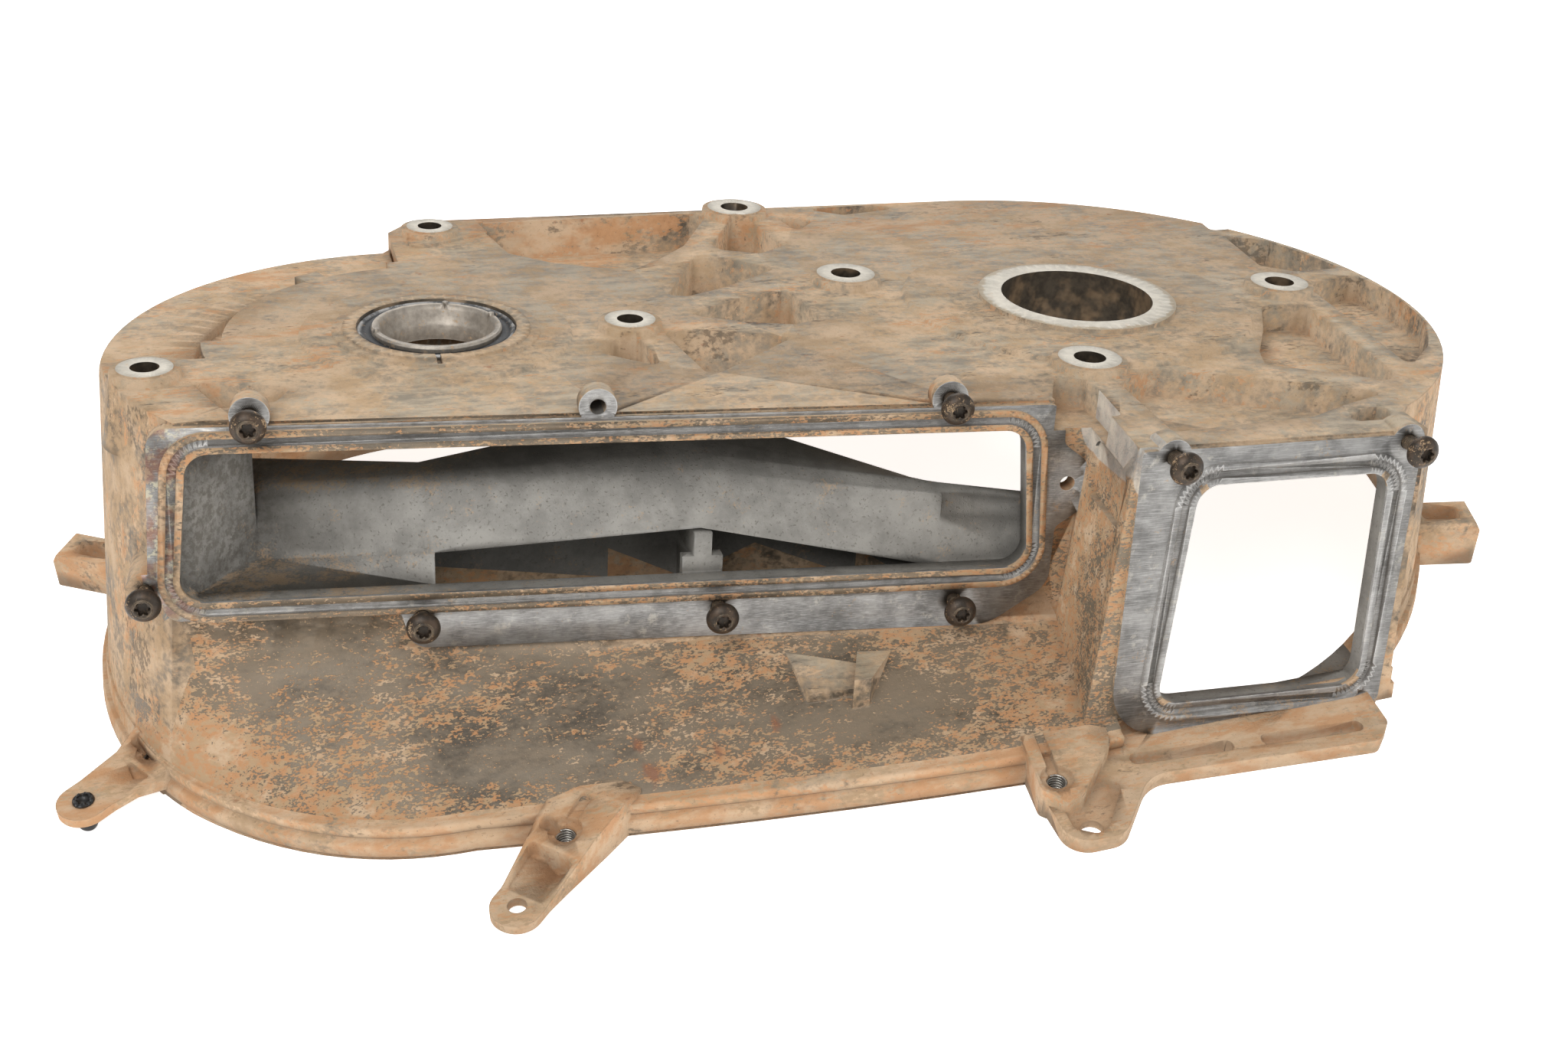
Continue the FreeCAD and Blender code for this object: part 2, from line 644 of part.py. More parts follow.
def screw(x, z, window):
    shank = Part.makeCylinder(screw_r, screw_in + screw_out, V(0, 0, -screw_in))
    head = turned([(0, screw_out), (head_r - 0.7, screw_out), (head_r, screw_out + 0.8),
                   (head_r, screw_out + 2.0), (head_r - 1.4, screw_out + 4.3),
                   (head_r - 3.2, screw_out + head_h), (0, screw_out + head_h)])
    piece = shank.fuse(head)
    piece = piece.cut(prism(lobes, screw_out + head_h - socket_depth, screw_out + head_h + 1))
    piece.translate(V(x, z, 0))
    return rest(stand(piece, window))


screws = Part.makeCompound([screw(*place) for place in screw_places])

# Shaft seal and the metal collar inside it
collar_r = 26.1
collar_bore_r = 20.0
seal = turned([(collar_r + seat_gap, -15), (seal_seat_r - seat_gap, -15),
               (seal_seat_r - seat_gap, -2.2), (seal_seat_r - 1.2, -1.4),
               (seal_seat_r - 2.4, -2.6), (collar_r + 1.6, -3.4), (collar_r + seat_gap, -2.6)])
collar = turned([(collar_bore_r, -14), (collar_r, -14), (collar_r, -1.2), (collar_r - 0.6, -0.2),
                 (collar_r - 2.4, -0.2), (collar_bore_r + 1.2, -6.5), (collar_bore_r, -8)])
for degrees in (75, 190, 20):
    nub = Part.makeCylinder(1.2, 1.3, on_circle(BORE_A, collar_r - 1.5, degrees) + V(0, 0, -0.5))
    collar = collar.fuse(nub)

# Thread inserts and the broken push clip
sleeves = []
for plug in inserts:
    centre = plug.CenterOfMass
    box = plug.BoundBox
    bore = Part.makeCylinder(insert_bore_r, 30, V(centre.x, centre.y, box.ZMin - 5))
    sleeves.append(plug.cut(bore))
drop = clip_at.z
clip_top = drop + tip_thick
clip = turned([(0, 0.2), (4.6, 0.4), (5.4, 2.6), (3.4, drop - 1.2), (tip_hole_r - 0.1, drop),
               (tip_hole_r - 0.1, clip_top), (4.4, clip_top + seat_gap), (3.6, clip_top + 1.8),
               (0, clip_top + 2.2)], V(clip_at.x, clip_at.y, 0))

shapes = {
    "cover_casting": casting,
    "shaft_seal": rest(seal),
    "seal_collar": rest(collar),
    "flange_screws": screws,
    "thread_inserts": Part.makeCompound(sleeves),
    "push_clip": clip,
}

# Origin under the middle of the whole part
whole = FreeCAD.BoundBox()
for shape in shapes.values():
    whole.add(shape.optimalBoundingBox(False, False))
shift = V(-whole.Center.x, -whole.Center.y, -whole.ZMin)
for name, shape in shapes.items():
    placed = shape.copy()
    placed.translate(shift)
    placed.exportStep("parts/" + name + ".step")
    print(name, "valid", placed.isValid(), "solids", len(placed.Solids), "volume", round(placed.Volume))
print("size", whole.XLength, whole.YLength, whole.ZLength)
print("bore A", to_rest.multVec(BORE_A) + shift, "bore B", to_rest.multVec(BORE_B) + shift)
print("shift", shift, "axis", normal)
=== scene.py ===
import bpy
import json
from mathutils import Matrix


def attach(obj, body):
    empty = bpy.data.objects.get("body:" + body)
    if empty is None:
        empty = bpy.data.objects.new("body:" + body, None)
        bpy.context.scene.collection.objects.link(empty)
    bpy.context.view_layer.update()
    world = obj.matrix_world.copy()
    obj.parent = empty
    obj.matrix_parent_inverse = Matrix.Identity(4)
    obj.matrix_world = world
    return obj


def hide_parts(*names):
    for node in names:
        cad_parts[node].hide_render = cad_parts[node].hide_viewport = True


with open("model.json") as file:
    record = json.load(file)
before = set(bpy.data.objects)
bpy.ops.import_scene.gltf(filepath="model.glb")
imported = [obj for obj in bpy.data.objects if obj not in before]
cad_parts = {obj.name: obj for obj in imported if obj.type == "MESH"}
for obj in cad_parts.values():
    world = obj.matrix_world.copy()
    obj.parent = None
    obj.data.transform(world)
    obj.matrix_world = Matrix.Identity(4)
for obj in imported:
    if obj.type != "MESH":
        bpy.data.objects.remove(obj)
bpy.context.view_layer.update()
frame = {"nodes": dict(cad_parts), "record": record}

import json
import math

import bmesh
import bpy
import numpy as np
from bpy.props import FloatProperty, FloatVectorProperty, IntProperty, PointerProperty
from bpy.types import Operator, Panel, PropertyGroup
from mathutils import Matrix, Vector
from mathutils.bvhtree import BVHTree

bl_info = {
    "name": "Inner clutch cover",
    "version": (1, 0, 0),
    "blender": (4, 5, 0),
    "location": "3D View > Sidebar > Clutch cover",
    "description": "Dresses the packed solids of a used cast inner clutch cover",
    "category": "Object",
}

MM = 0.001
# The casting was drawn square to its two bores and rests on a rim that leans against them.
# LEAN turns bore axes (x along the line of the bores, y back, z along the bores) to rest.
LEAN = np.array([
    [0.99538090, -0.01700748, 0.09448598],
    [0.0, 0.98418332, 0.17715300],
    [-0.09600445, -0.17633471, 0.97963729],
])
BORE_DISTANCE = 0.280
# open rim's plane on the bores' axes, in millimetres: z at the small bore, and its rise per
# millimetre along and across
RIM_LEVEL, RIM_ALONG, RIM_ACROSS = -134.0, 0.098, 0.18


def mount(name):
    """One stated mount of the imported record."""
    for item in frame["record"]["mounts"]:
        if item["name"] == name:
            return item
    raise RuntimeError("the record has no mount " + name)


def bore_origin():
    """Small bore's axis at the boss plane: the large bore's mouth, less the bore distance."""
    bore = mount("driven_shaft_bore")
    half = bore["dims"]["length_mm"] * MM / 2
    mouth = np.array(bore["pos_m"]) + np.array(bore["axis"]) * half
    return mouth - LEAN @ np.array([BORE_DISTANCE, 0.0, 0.0])


ORIGIN = bore_origin()


def to_rest(points):
    """Bore-axes points in millimetres to the resting frame in metres."""
    return np.asarray(points, float) * MM @ LEAN.T + ORIGIN


def to_bores(points):
    """Resting-frame points in metres to bore axes in millimetres."""
    return (np.asarray(points, float) - ORIGIN) @ LEAN / MM


# ---------------------------------------------------------------- sizes and colours

class CoverSizes(PropertyGroup):
    edge_round: FloatProperty(
        name="Edge rounding", default=0.0012, unit="LENGTH",
        description="How far a cast edge is softened")
    thread_pitch: FloatProperty(
        name="Thread pitch", default=0.001, unit="LENGTH",
        description="Pitch of the screws and thread inserts")
    thread_depth: FloatProperty(
        name="Thread depth", default=0.0003, unit="LENGTH",
        description="Depth of the screw thread")
    screw_sides: IntProperty(
        name="Screw sides", default=48,
        description="Steps round a screw")
    floor_size: FloatProperty(
        name="Floor size", default=9.0, unit="LENGTH",
        description="Width of the plain floor")


def colour(name, red, green, blue, words):
    return FloatVectorProperty(
        name=name, subtype="COLOR", size=3, default=(red, green, blue), min=0.0, max=1.0,
        description=words)


class CoverColours(PropertyGroup):
    # bare_dark is also painted as shade in hollows and on faces turned downwards
    bare_dark: colour("Bare alloy, dark", 0.080, 0.063, 0.044, "Old casting skin in shade")
    bare_grey: colour("Bare alloy, grey", 0.205, 0.165, 0.118, "Old casting skin, rubbed")
    top_dark: colour("Top skin, dark", 0.245, 0.205, 0.150, "Rubbed skin of the top plate")
    top_skin: colour("Top skin", 0.46, 0.375, 0.265, "Dusty skin of the top plate")
    front_haze: colour("Front wall film", 0.27, 0.205, 0.137, "Thin clay film on the front wall")
    # pale dust colour, also painted on outer edges as wear and painted highlight
    dust_pale_and_highlight: colour("Pale dust", 0.64, 0.455, 0.295, "Dry clay dust")
    dust_tan: colour("Tan dust", 0.50, 0.335, 0.190, "Packed clay")
    dust_orange: colour("Orange dust", 0.56, 0.285, 0.130, "Iron-rich clay")
    rust: colour("Rust stain", 0.30, 0.105, 0.045, "Red-brown stains")
    milled: colour("Milled alloy", 0.37, 0.36, 0.345, "Machined faces")
    # also painted on the milled flange's edges as wear and painted highlight
    milled_edge: colour("Milled edges", 0.72, 0.71, 0.69, "Bright rubbed edges")
    oxide: colour("Pale oxide", 0.60, 0.55, 0.40, "White corrosion on bare alloy")
    duct_grey: colour("Duct skin", 0.33, 0.315, 0.285, "Clean cast skin inside the ducts")
    # a darkened third of this colour is also painted as shade under the top plate and in the
    # ducts' hollows
    duct_dark: colour("Duct skin, dark", 0.145, 0.130, 0.108, "Sooty skin inside the ducts")
    spot_white: colour("Spot face", 0.68, 0.63, 0.54, "Corroded spot faces")
    screw_black: colour("Screw finish", 0.050, 0.038, 0.028, "Blackened steel")
    screw_worn: colour("Screw rims", 0.34, 0.26, 0.17, "Worn rims of the screw heads")
    screw_rust: colour("Screw rust", 0.085, 0.055, 0.035, "Brown film on the screw heads")
    rubber: colour("Seal rubber", 0.014, 0.015, 0.017, "Shaft seal")
    collar: colour("Collar metal", 0.44, 0.39, 0.33, "Turned collar")
    plastic: colour("Clip plastic", 0.012, 0.012, 0.013, "Push clip")
    floor: colour("Floor", 0.90, 0.90, 0.90, "Plain floor")


def sizes():
    return bpy.context.scene.cover_sizes


def colours():
    return bpy.context.scene.cover_colours


# ---------------------------------------------------------------- shader building

def put(tree, kind, values=None, **settings):
    """Adds a node; values go to its inputs by name or number, as numbers or links."""
    node = tree.nodes.new(kind)
    for key, value in settings.items():
        setattr(node, key, value)
    for key, value in (values or {}).items():
        if isinstance(value, bpy.types.NodeSocket):
            tree.links.new(value, node.inputs[key])
        else:
            node.inputs[key].default_value = value
    return node


def calc(tree, operation, a, b=0.0, c=0.0):
    return put(tree, "ShaderNodeMath", {0: a, 1: b, 2: c}, operation=operation).outputs[0]


def band(tree, value, low, high, start=0.0, end=1.0):
    """Smooth step from start to end as value runs from low to high."""
    node = put(tree, "ShaderNodeMapRange", {0: value, 1: low, 2: high, 3: start, 4: end},
               interpolation_type="SMOOTHSTEP")
    return node.outputs[0]


def paint(tree, mask, under, over, blend="MIX"):
    node = put(tree, "ShaderNodeMix", data_type="RGBA", blend_type=blend)
    for number, value in ((0, mask), (6, under), (7, over)):
        if isinstance(value, bpy.types.NodeSocket):
            tree.links.new(value, node.inputs[number])
        elif number == 0:
            node.inputs[0].default_value = value
        else:
            node.inputs[number].default_value = (*value[:3], 1.0)
    return node.outputs[2]


def coat(tree, base, mask, share, over):
    """The base under a share of another colour where the mask says."""
    return paint(tree, calc(tree, "MULTIPLY", mask, share), base, over)


def noise(tree, place, size, detail=4.0, rough=0.55, seed=0.0):
    """Noise whose features are about size millimetres across."""
    moved = put(tree, "ShaderNodeVectorMath", {0: place, 1: (seed, seed * 0.7, seed * 1.3)},
                operation="ADD").outputs[0]
    node = put(tree, "ShaderNodeTexNoise",
               {"Vector": moved, "Scale": 1.0 / size, "Detail": detail, "Roughness": rough})
    return node.outputs["Fac"]


def cloud(tree, place, kind, low, high):
    """Noise cut softly between two levels; kind is its size, detail, roughness and seed."""
    return band(tree, noise(tree, place, *kind), low, high)


def bore_place(tree, squeeze=(1.0, 1.0, 1.0)):
    """Surface point in millimetres on the bores' axes."""
    coords = tree.nodes.new("ShaderNodeTexCoord").outputs["Object"]
    turn = Matrix(LEAN.T.tolist())
    shift = -(LEAN.T @ ORIGIN) / MM
    mapped = put(tree, "ShaderNodeMapping",
                 {"Vector": coords, "Location": tuple(shift),
                  "Rotation": turn.to_euler(), "Scale": (1000.0, 1000.0, 1000.0)}).outputs[0]
    if squeeze == (1.0, 1.0, 1.0):
        return mapped
    return put(tree, "ShaderNodeVectorMath", {0: mapped, 1: squeeze},
               operation="MULTIPLY").outputs[0]


def facing(tree, direction):
    """How far the surface faces a direction given on the bores' axes."""
    normal = tree.nodes.new("ShaderNodeNewGeometry").outputs["Normal"]
    rest = tuple(LEAN @ np.array(direction, float))
    return put(tree, "ShaderNodeVectorMath", {0: normal, 1: rest},
               operation="DOT_PRODUCT").outputs["Value"]


def new_group(name, inputs, outputs):
    """Node group with float or vector inputs and named outputs."""
    group = bpy.data.node_groups.new(name, "ShaderNodeTree")
    for label, kind, default in inputs:
        item = group.interface.new_socket(name=label, in_out="INPUT", socket_type=kind)
        if default is not None:
            item.default_value = default
    for label, kind in outputs:
        group.interface.new_socket(name=label, in_out="OUTPUT", socket_type=kind)
    entry = group.nodes.new("NodeGroupInput")
    leave = group.nodes.new("NodeGroupOutput")
    return group, entry.outputs, leave.inputs


def use_group(tree, group, values):
    return put(tree, "ShaderNodeGroup", values, node_tree=group).outputs


def make_dust(name):
    """Dust by cover: clouds of three sizes added up, cut at a level set by Amount, 0 to 1."""
    group, entry, leave = new_group(
        name,
        [("Place", "NodeSocketVector", None), ("Amount", "NodeSocketFloat", 0.5),
         ("Patch", "NodeSocketFloat", 40.0), ("Clump", "NodeSocketFloat", 7.0),
         ("Speck", "NodeSocketFloat", 1.6), ("Softness", "NodeSocketFloat", 0.08)],
        [("Mask", "NodeSocketFloat"), ("Tone", "NodeSocketFloat")])

    def layer(size, detail, rough):
        node = put(group, "ShaderNodeTexNoise",
                   {"Vector": entry["Place"], "Scale": calc(group, "DIVIDE", 1.0, size),
                    "Detail": detail, "Roughness": rough})
        return node.outputs["Fac"]

    total = 0.0
    for label, share, detail in (("Patch", 0.9, 3.0), ("Clump", 0.75, 3.0), ("Speck", 0.85, 3.0)):
        part = calc(group, "MULTIPLY", layer(entry[label], detail, 0.6), share)
        total = calc(group, "ADD", total, part)
    level = calc(group, "MULTIPLY_ADD", entry["Amount"], -0.78, 1.64)
    gap = calc(group, "DIVIDE", calc(group, "SUBTRACT", total, level), entry["Softness"])
    tone = layer(calc(group, "MULTIPLY", entry["Patch"], 0.35), 4.0, 0.7)
    group.links.new(band(group, gap, -0.5, 0.5), leave["Mask"])
    group.links.new(tone, leave["Tone"])
    return group


def make_cast_skin(name):
    """Sand-cast skin: fine grain, soft lumps and a few pits, as a height of 0 to 1."""
    group, entry, leave = new_group(
        name,
        [("Place", "NodeSocketVector", None), ("Pits", "NodeSocketFloat", 0.3)],
        [("Height", "NodeSocketFloat")])
    place = entry["Place"]
    grain = noise(group, place, 0.9, 3.0, 0.6)
    lumps = noise(group, place, 6.0, 3.0, 0.5, 11.0)
    cells = put(group, "ShaderNodeTexVoronoi", {"Vector": place, "Scale": 0.22}).outputs[0]
    pit = calc(group, "MULTIPLY", band(group, cells, 0.05, 0.22, 1.0, 0.0), entry["Pits"])
    height = calc(group, "ADD", calc(group, "MULTIPLY", grain, 0.45),
                  calc(group, "MULTIPLY", lumps, 0.8))
    group.links.new(calc(group, "SUBTRACT", height, pit), leave["Height"])
    return group


def make_edge_wear_and_shading(name):
    """Mask of outer edges, where the rounded normal leaves the face normal, and of hollows by
    ambient occlusion: materials paint the edges lighter as wear, and on the casting as painted
    highlight too, and the hollows darker as painted shade.
    """
    group, entry, leave = new_group(
        name,
        [("Place", "NodeSocketVector", None), ("Width", "NodeSocketFloat", 0.0015),
         ("Reach", "NodeSocketFloat", 0.012)],
        [("Mask", "NodeSocketFloat"), ("Hollow", "NodeSocketFloat")])
    rounded = put(group, "ShaderNodeBevel", {"Radius": entry["Width"]}, samples=4).outputs[0]
    flat = group.nodes.new("ShaderNodeNewGeometry").outputs["Normal"]
    dot = put(group, "ShaderNodeVectorMath", {0: rounded, 1: flat},
              operation="DOT_PRODUCT").outputs["Value"]
    edge = band(group, dot, 0.995, 0.88)
    broken = band(group, noise(group, entry["Place"], 5.0, 5.0, 0.65, 3.0), 0.36, 0.58)
    # hollow mask from ambient occlusion: the materials paint shade with it, and the casting also
    # places dust by it
    shade = put(group, "ShaderNodeAmbientOcclusion", {"Distance": entry["Reach"]}, samples=6)
    hollow = band(group, shade.outputs["AO"], 0.92, 0.45)
    open_side = calc(group, "SUBTRACT", 1.0, hollow)
    # edge mask: painted lighter as rubbed wear on small parts, and as wear and painted highlight
    # on the casting
    worn = calc(group, "MULTIPLY", calc(group, "MULTIPLY", edge, broken), open_side)
    group.links.new(worn, leave["Mask"])
    group.links.new(hollow, leave["Hollow"])
    return group


def make_brushing(name):
    """Fine tool lines along one direction, as a height, from noise stretched by Stretch."""
    group, entry, leave = new_group(
        name,
        [("Place", "NodeSocketVector", None), ("Stretch", "NodeSocketVector", (0.03, 1, 1))],
        [("Height", "NodeSocketFloat")])
    pulled = put(group, "ShaderNodeVectorMath", {0: entry["Place"], 1: entry["Stretch"]},
                 operation="MULTIPLY").outputs[0]
    lines = noise(group, pulled, 0.35, 3.0, 0.6)
    group.links.new(lines, leave["Height"])
    return group


def softened(tree, radius):
    """Normal with its edges rounded by radius metres."""
    return put(tree, "ShaderNodeBevel", {"Radius": radius}, samples=6).outputs[0]


def distance(tree, a, b):
    """Length of the hypotenuse over two lengths."""
    squares = [calc(tree, "POWER", side, 2.0) for side in (a, b)]
    return calc(tree, "SQRT", calc(tree, "ADD", *squares))


def groups():
    """The shared groups, made once."""
    made = {}
    for name, maker in (("dust", make_dust), ("cast skin", make_cast_skin),
                        ("edge wear and shading", make_edge_wear_and_shading), ("brushing", make_brushing)):
        made[name] = bpy.data.node_groups.get(name) or maker(name)
    return made


def begin(name):
    """Empty material with a Principled shader; returns material, tree and shader."""
    material = bpy.data.materials.new(name)
    material.use_nodes = True
    tree = material.node_tree
    shader = tree.nodes["Principled BSDF"]
    return material, tree, shader


def bump(tree, height, distance, strength=1.0, normal=None):
    values = {"Height": height, "Distance": distance, "Strength": strength}
    if normal is not None:
        values["Normal"] = normal
    return put(tree, "ShaderNodeBump", values).outputs[0]


def finish_with(tree, shader, colour_out, rough, metal, normal):
    for socket, value in (("Base Color", colour_out), ("Roughness", rough),
                          ("Metallic", metal), ("Normal", normal)):
        if isinstance(value, bpy.types.NodeSocket):
            tree.links.new(value, shader.inputs[socket])
        else:
            shader.inputs[socket].default_value = value


def split(tree, place):
    """The three lengths of a place."""
    return tuple(put(tree, "ShaderNodeSeparateXYZ", {0: place}).outputs)


def product(tree, *factors):
    """All the factors multiplied."""
    total = factors[0]
    for factor in factors[1:]:
        total = calc(tree, "MULTIPLY", total, factor)
    return total


def weighed(tree, start, *pairs):
    """Start plus each mask times its gain."""
    total = start
    for mask, gain in pairs:
        total = calc(tree, "MULTIPLY_ADD", mask, gain, total)
    return total


def blot(tree, place, across, up_to, size):
    """Soft round mark in the front wall's plane, size millimetres across, centred there."""
    x, _, z = split(tree, place)
    wobble = calc(tree, "MULTIPLY", noise(tree, place, 6.0, 3.0, 0.6, across), size * 1.1)
    far = distance(tree, calc(tree, "SUBTRACT", x, across), calc(tree, "SUBTRACT", z, up_to))
    return band(tree, calc(tree, "ADD", far, wobble), size * 1.25, size * 0.7)


def above_the_rim(tree, place):
    """Height over the open rim's plane, which leans against the bores."""
    x, y, z = split(tree, place)
    rim = weighed(tree, RIM_LEVEL, (x, RIM_ALONG), (y, RIM_ACROSS))
    return calc(tree, "SUBTRACT", z, rim)


def dust_over(tree, place, amount, patch, clump, speck, softness):
    """Dust group's outputs; patch, clump and speck are its three sizes in millimetres."""
    return use_group(tree, groups()["dust"], {
        "Place": place, "Amount": amount, "Patch": patch, "Clump": clump, "Speck": speck,
        "Softness": softness})


def edge_wear_and_shading(tree, place, width, reach):
    return use_group(tree, groups()["edge wear and shading"],
                     {"Place": place, "Width": width, "Reach": reach})


def skin_normal(tree, place, dusty, pits=0.25):
    """Cast grain over rounded edges, with the dust's crust on top."""
    g = groups()
    grain = use_group(tree, g["cast skin"], {"Place": place, "Pits": pits})["Height"]
    crust = product(tree, dusty, noise(tree, place, 1.1, 4.0, 0.7, 7.0))
    soft = softened(tree, sizes().edge_round)
    return bump(tree, crust, 0.0004, 0.6, bump(tree, grain, 0.00035, 0.7, soft))


def cast_material():
    """Raw skin of the casting: rubbed alloy under clay dust that follows place and slope, with
    painted shade in hollows and on faces turned downwards, and edges lighter as wear and painted
    highlight.
    """
    c = colours()
    material, tree, shader = begin("cast alloy")
    place = bore_place(tree)
    x, y, z = split(tree, place)
    up = facing(tree, (0, 0, 1))
    top = band(tree, up, 0.45, 0.8)
    wear_and_shading = edge_wear_and_shading(tree, place, 0.0016, 0.014)
    hollow = wear_and_shading["Hollow"]
    above = above_the_rim(tree, place)
    low = band(tree, above, 30.0, 10.0)
    side = calc(tree, "SUBTRACT", 1.0, top)
    left = band(tree, x, -10.0, -70.0)
    rear = band(tree, y, 60.0, 120.0)
    deep = band(tree, z, -9.0, -18.0)
    slope = product(tree, side, calc(tree, "SUBTRACT", 1.0, low))

    bare = paint(tree, cloud(tree, place, (22.0, 5.0, 0.65, 5.0), 0.36, 0.62),
                 c.bare_dark, c.bare_grey)
    smear_place = bore_place(tree, (0.35, 1.0, 0.6))
    smear = cloud(tree, smear_place, (7.0, 6.0, 0.7, 8.0), 0.36, 0.64)
    skin = paint(tree, smear, c.top_dark, c.top_skin)
    bare = paint(tree, top, bare, skin)

    amount = weighed(tree, 0.50, (low, 0.36), (product(tree, top, left), 0.10),
                     (product(tree, top, rear), 0.06), (slope, 0.10),
                     (product(tree, hollow, top), 0.12))
    film = dust_over(tree, place, amount, 55.0, 16.0, 3.0, 0.42)
    clay_amount = weighed(tree, 0.26, (low, 0.30), (product(tree, top, left), 0.12),
                          (rear, 0.16), (slope, 0.12), (product(tree, hollow, deep), 0.16))
    clay = dust_over(tree, smear_place, clay_amount, 26.0, 6.0, 1.2, 0.09)
    tan = paint(tree, band(tree, film["Tone"], 0.38, 0.62), c.dust_tan, c.dust_pale_and_highlight)
    orange = paint(tree, band(tree, clay["Tone"], 0.40, 0.62), c.dust_orange, c.dust_pale_and_highlight)
    base = paint(tree, product(tree, film["Mask"], 0.8), bare, tan)
    base = coat(tree, base, clay["Mask"], 0.72, orange)
    deep_clay = product(tree, hollow, deep, top)
    base = coat(tree, base, deep_clay, 0.45, c.dust_orange)

    scuffs = dust_over(tree, smear_place, weighed(tree, 0.16, (low, -0.06), (slope, 0.12)),
                       30.0, 9.0, 1.5, 0.14)
    base = coat(tree, base, scuffs["Mask"], 0.62, c.bare_dark)
    stain = product(tree, cloud(tree, place, (9.0, 4.0, 0.7, 31.0), 0.62, 0.70),
                    cloud(tree, place, (60.0, 2.0, 0.5, 37.0), 0.50, 0.60))
    base = coat(tree, base, stain, 0.5, c.rust)
    specks = cloud(tree, place, (1.0, 2.0, 0.6, 43.0), 0.64, 0.72)
    base = coat(tree, base, specks, 0.35, c.bare_dark)
    # painted shade: faces turned downwards are darkened towards bare_dark
    under = band(tree, up, -0.2, -0.7)
    base = coat(tree, base, under, 0.5, c.bare_dark)
    # outer edges lightened with the pale colour: rubbed wear and painted highlight
    base = coat(tree, base, wear_and_shading["Mask"], 0.5, c.dust_pale_and_highlight)
    # painted shade: hollows found by ambient occlusion are darkened towards bare_dark
    base = coat(tree, base, hollow, 0.38, c.bare_dark)

    dusty = calc(tree, "MAXIMUM", film["Mask"], clay["Mask"])
    finish_with(tree, shader, base, band(tree, dusty, 0.0, 1.0, 0.6, 0.95),
                band(tree, dusty, 0.0, 1.0, 0.2, 0.0), skin_normal(tree, place, dusty))
    return material


# tool relief beside the square window's left screw: place along and up, and radius
TOOL_RELIEF = (259.5, -12.0, 22.0)


def front_material():
    """Front wall: dark skin with fine clay specks drawn out sideways and a few red stains, painted
    shade in hollows, and edges lighter as wear and painted highlight.
    """
    c = colours()
    material, tree, shader = begin("front wall alloy")
    place = bore_place(tree)
    x, y, z = split(tree, place)
    above = above_the_rim(tree, place)
    wear_and_shading = edge_wear_and_shading(tree, place, 0.0014, 0.010)
    hollow = wear_and_shading["Hollow"]
    wide = bore_place(tree, (0.55, 1.0, 1.0))
    mottle = cloud(tree, wide, (24.0, 6.0, 0.66, 5.0), 0.38, 0.62)
    bare = paint(tree, mottle, c.bare_dark, c.bare_grey)
    right = band(tree, x, 90.0, 190.0)
    left_foot = product(tree, band(tree, x, 20.0, -80.0), band(tree, above, 55.0, 18.0))
    left_edge = band(tree, x, -70.0, -96.0)
    under_pad = product(tree, band(tree, z, -122.0, -98.0), band(tree, x, -60.0, -10.0))
    base_line = band(tree, above, 24.0, 15.0)
    amount = weighed(tree, 0.35, (right, 0.12), (left_foot, 0.13), (left_edge, 0.16),
                     (under_pad, 0.10), (base_line, 0.12))
    fine = dust_over(tree, wide, amount, 34.0, 3.4, 0.85, 0.09)
    film = dust_over(tree, wide, calc(tree, "ADD", amount, 0.16), 60.0, 12.0, 2.0, 0.45)
    haze = paint(tree, right, tuple(v * 0.85 for v in c.front_haze), c.front_haze)
    base = paint(tree, product(tree, film["Mask"], 0.7), bare, haze)
    box_side = band(tree, x, 222.0, 232.0)
    base = coat(tree, base, box_side, 0.45, c.top_dark)
    tool_far = distance(tree, calc(tree, "SUBTRACT", x, TOOL_RELIEF[0]),
                        calc(tree, "SUBTRACT", z, TOOL_RELIEF[1]))
    relief = product(tree, band(tree, tool_far, TOOL_RELIEF[2], TOOL_RELIEF[2] - 0.6), box_side)
    fleck = cloud(tree, wide, (2.6, 3.0, 0.6, 19.0), 0.40, 0.60)
    clay = paint(tree, fleck, c.dust_tan, c.dust_orange)
    clay = paint(tree, band(tree, fine["Tone"], 0.5, 0.66), clay, c.dust_pale_and_highlight)
    base = coat(tree, base, fine["Mask"], 0.8, clay)
    sparse = cloud(tree, place, (1.1, 2.0, 0.5, 53.0), 0.66, 0.74)
    base = coat(tree, base, sparse, 0.6, c.dust_tan)
    for across, height, size in ((62.0, -134.0, 6.0), (71.0, -143.0, 5.0), (88.0, -128.0, 4.0),
                                 (112.0, -122.0, 4.0), (58.0, -127.0, 4.0)):
        base = paint(tree, product(tree, blot(tree, place, across, height, size), 0.6),
                     base, c.rust)
    for across, height, size in ((128.0, -149.0, 15.0), (214.0, -98.0, 12.0)):
        base = paint(tree, product(tree, blot(tree, place, across, height, size), 0.6),
                     base, c.bare_dark)
    rubbed = paint(tree, mottle, c.milled, c.spot_white)
    base = coat(tree, base, relief, 0.75, rubbed)
    # outer edges lightened with the pale colour: rubbed wear and painted highlight
    base = coat(tree, base, wear_and_shading["Mask"], 0.45, c.dust_pale_and_highlight)
    # painted shade: hollows found by ambient occlusion are darkened towards bare_dark
    base = coat(tree, base, hollow, 0.35, c.bare_dark)
    finish_with(tree, shader, base, band(tree, fine["Mask"], 0.0, 1.0, 0.55, 0.95),
                band(tree, fine["Mask"], 0.0, 1.0, 0.25, 0.0),
                skin_normal(tree, place, fine["Mask"]))
    return material


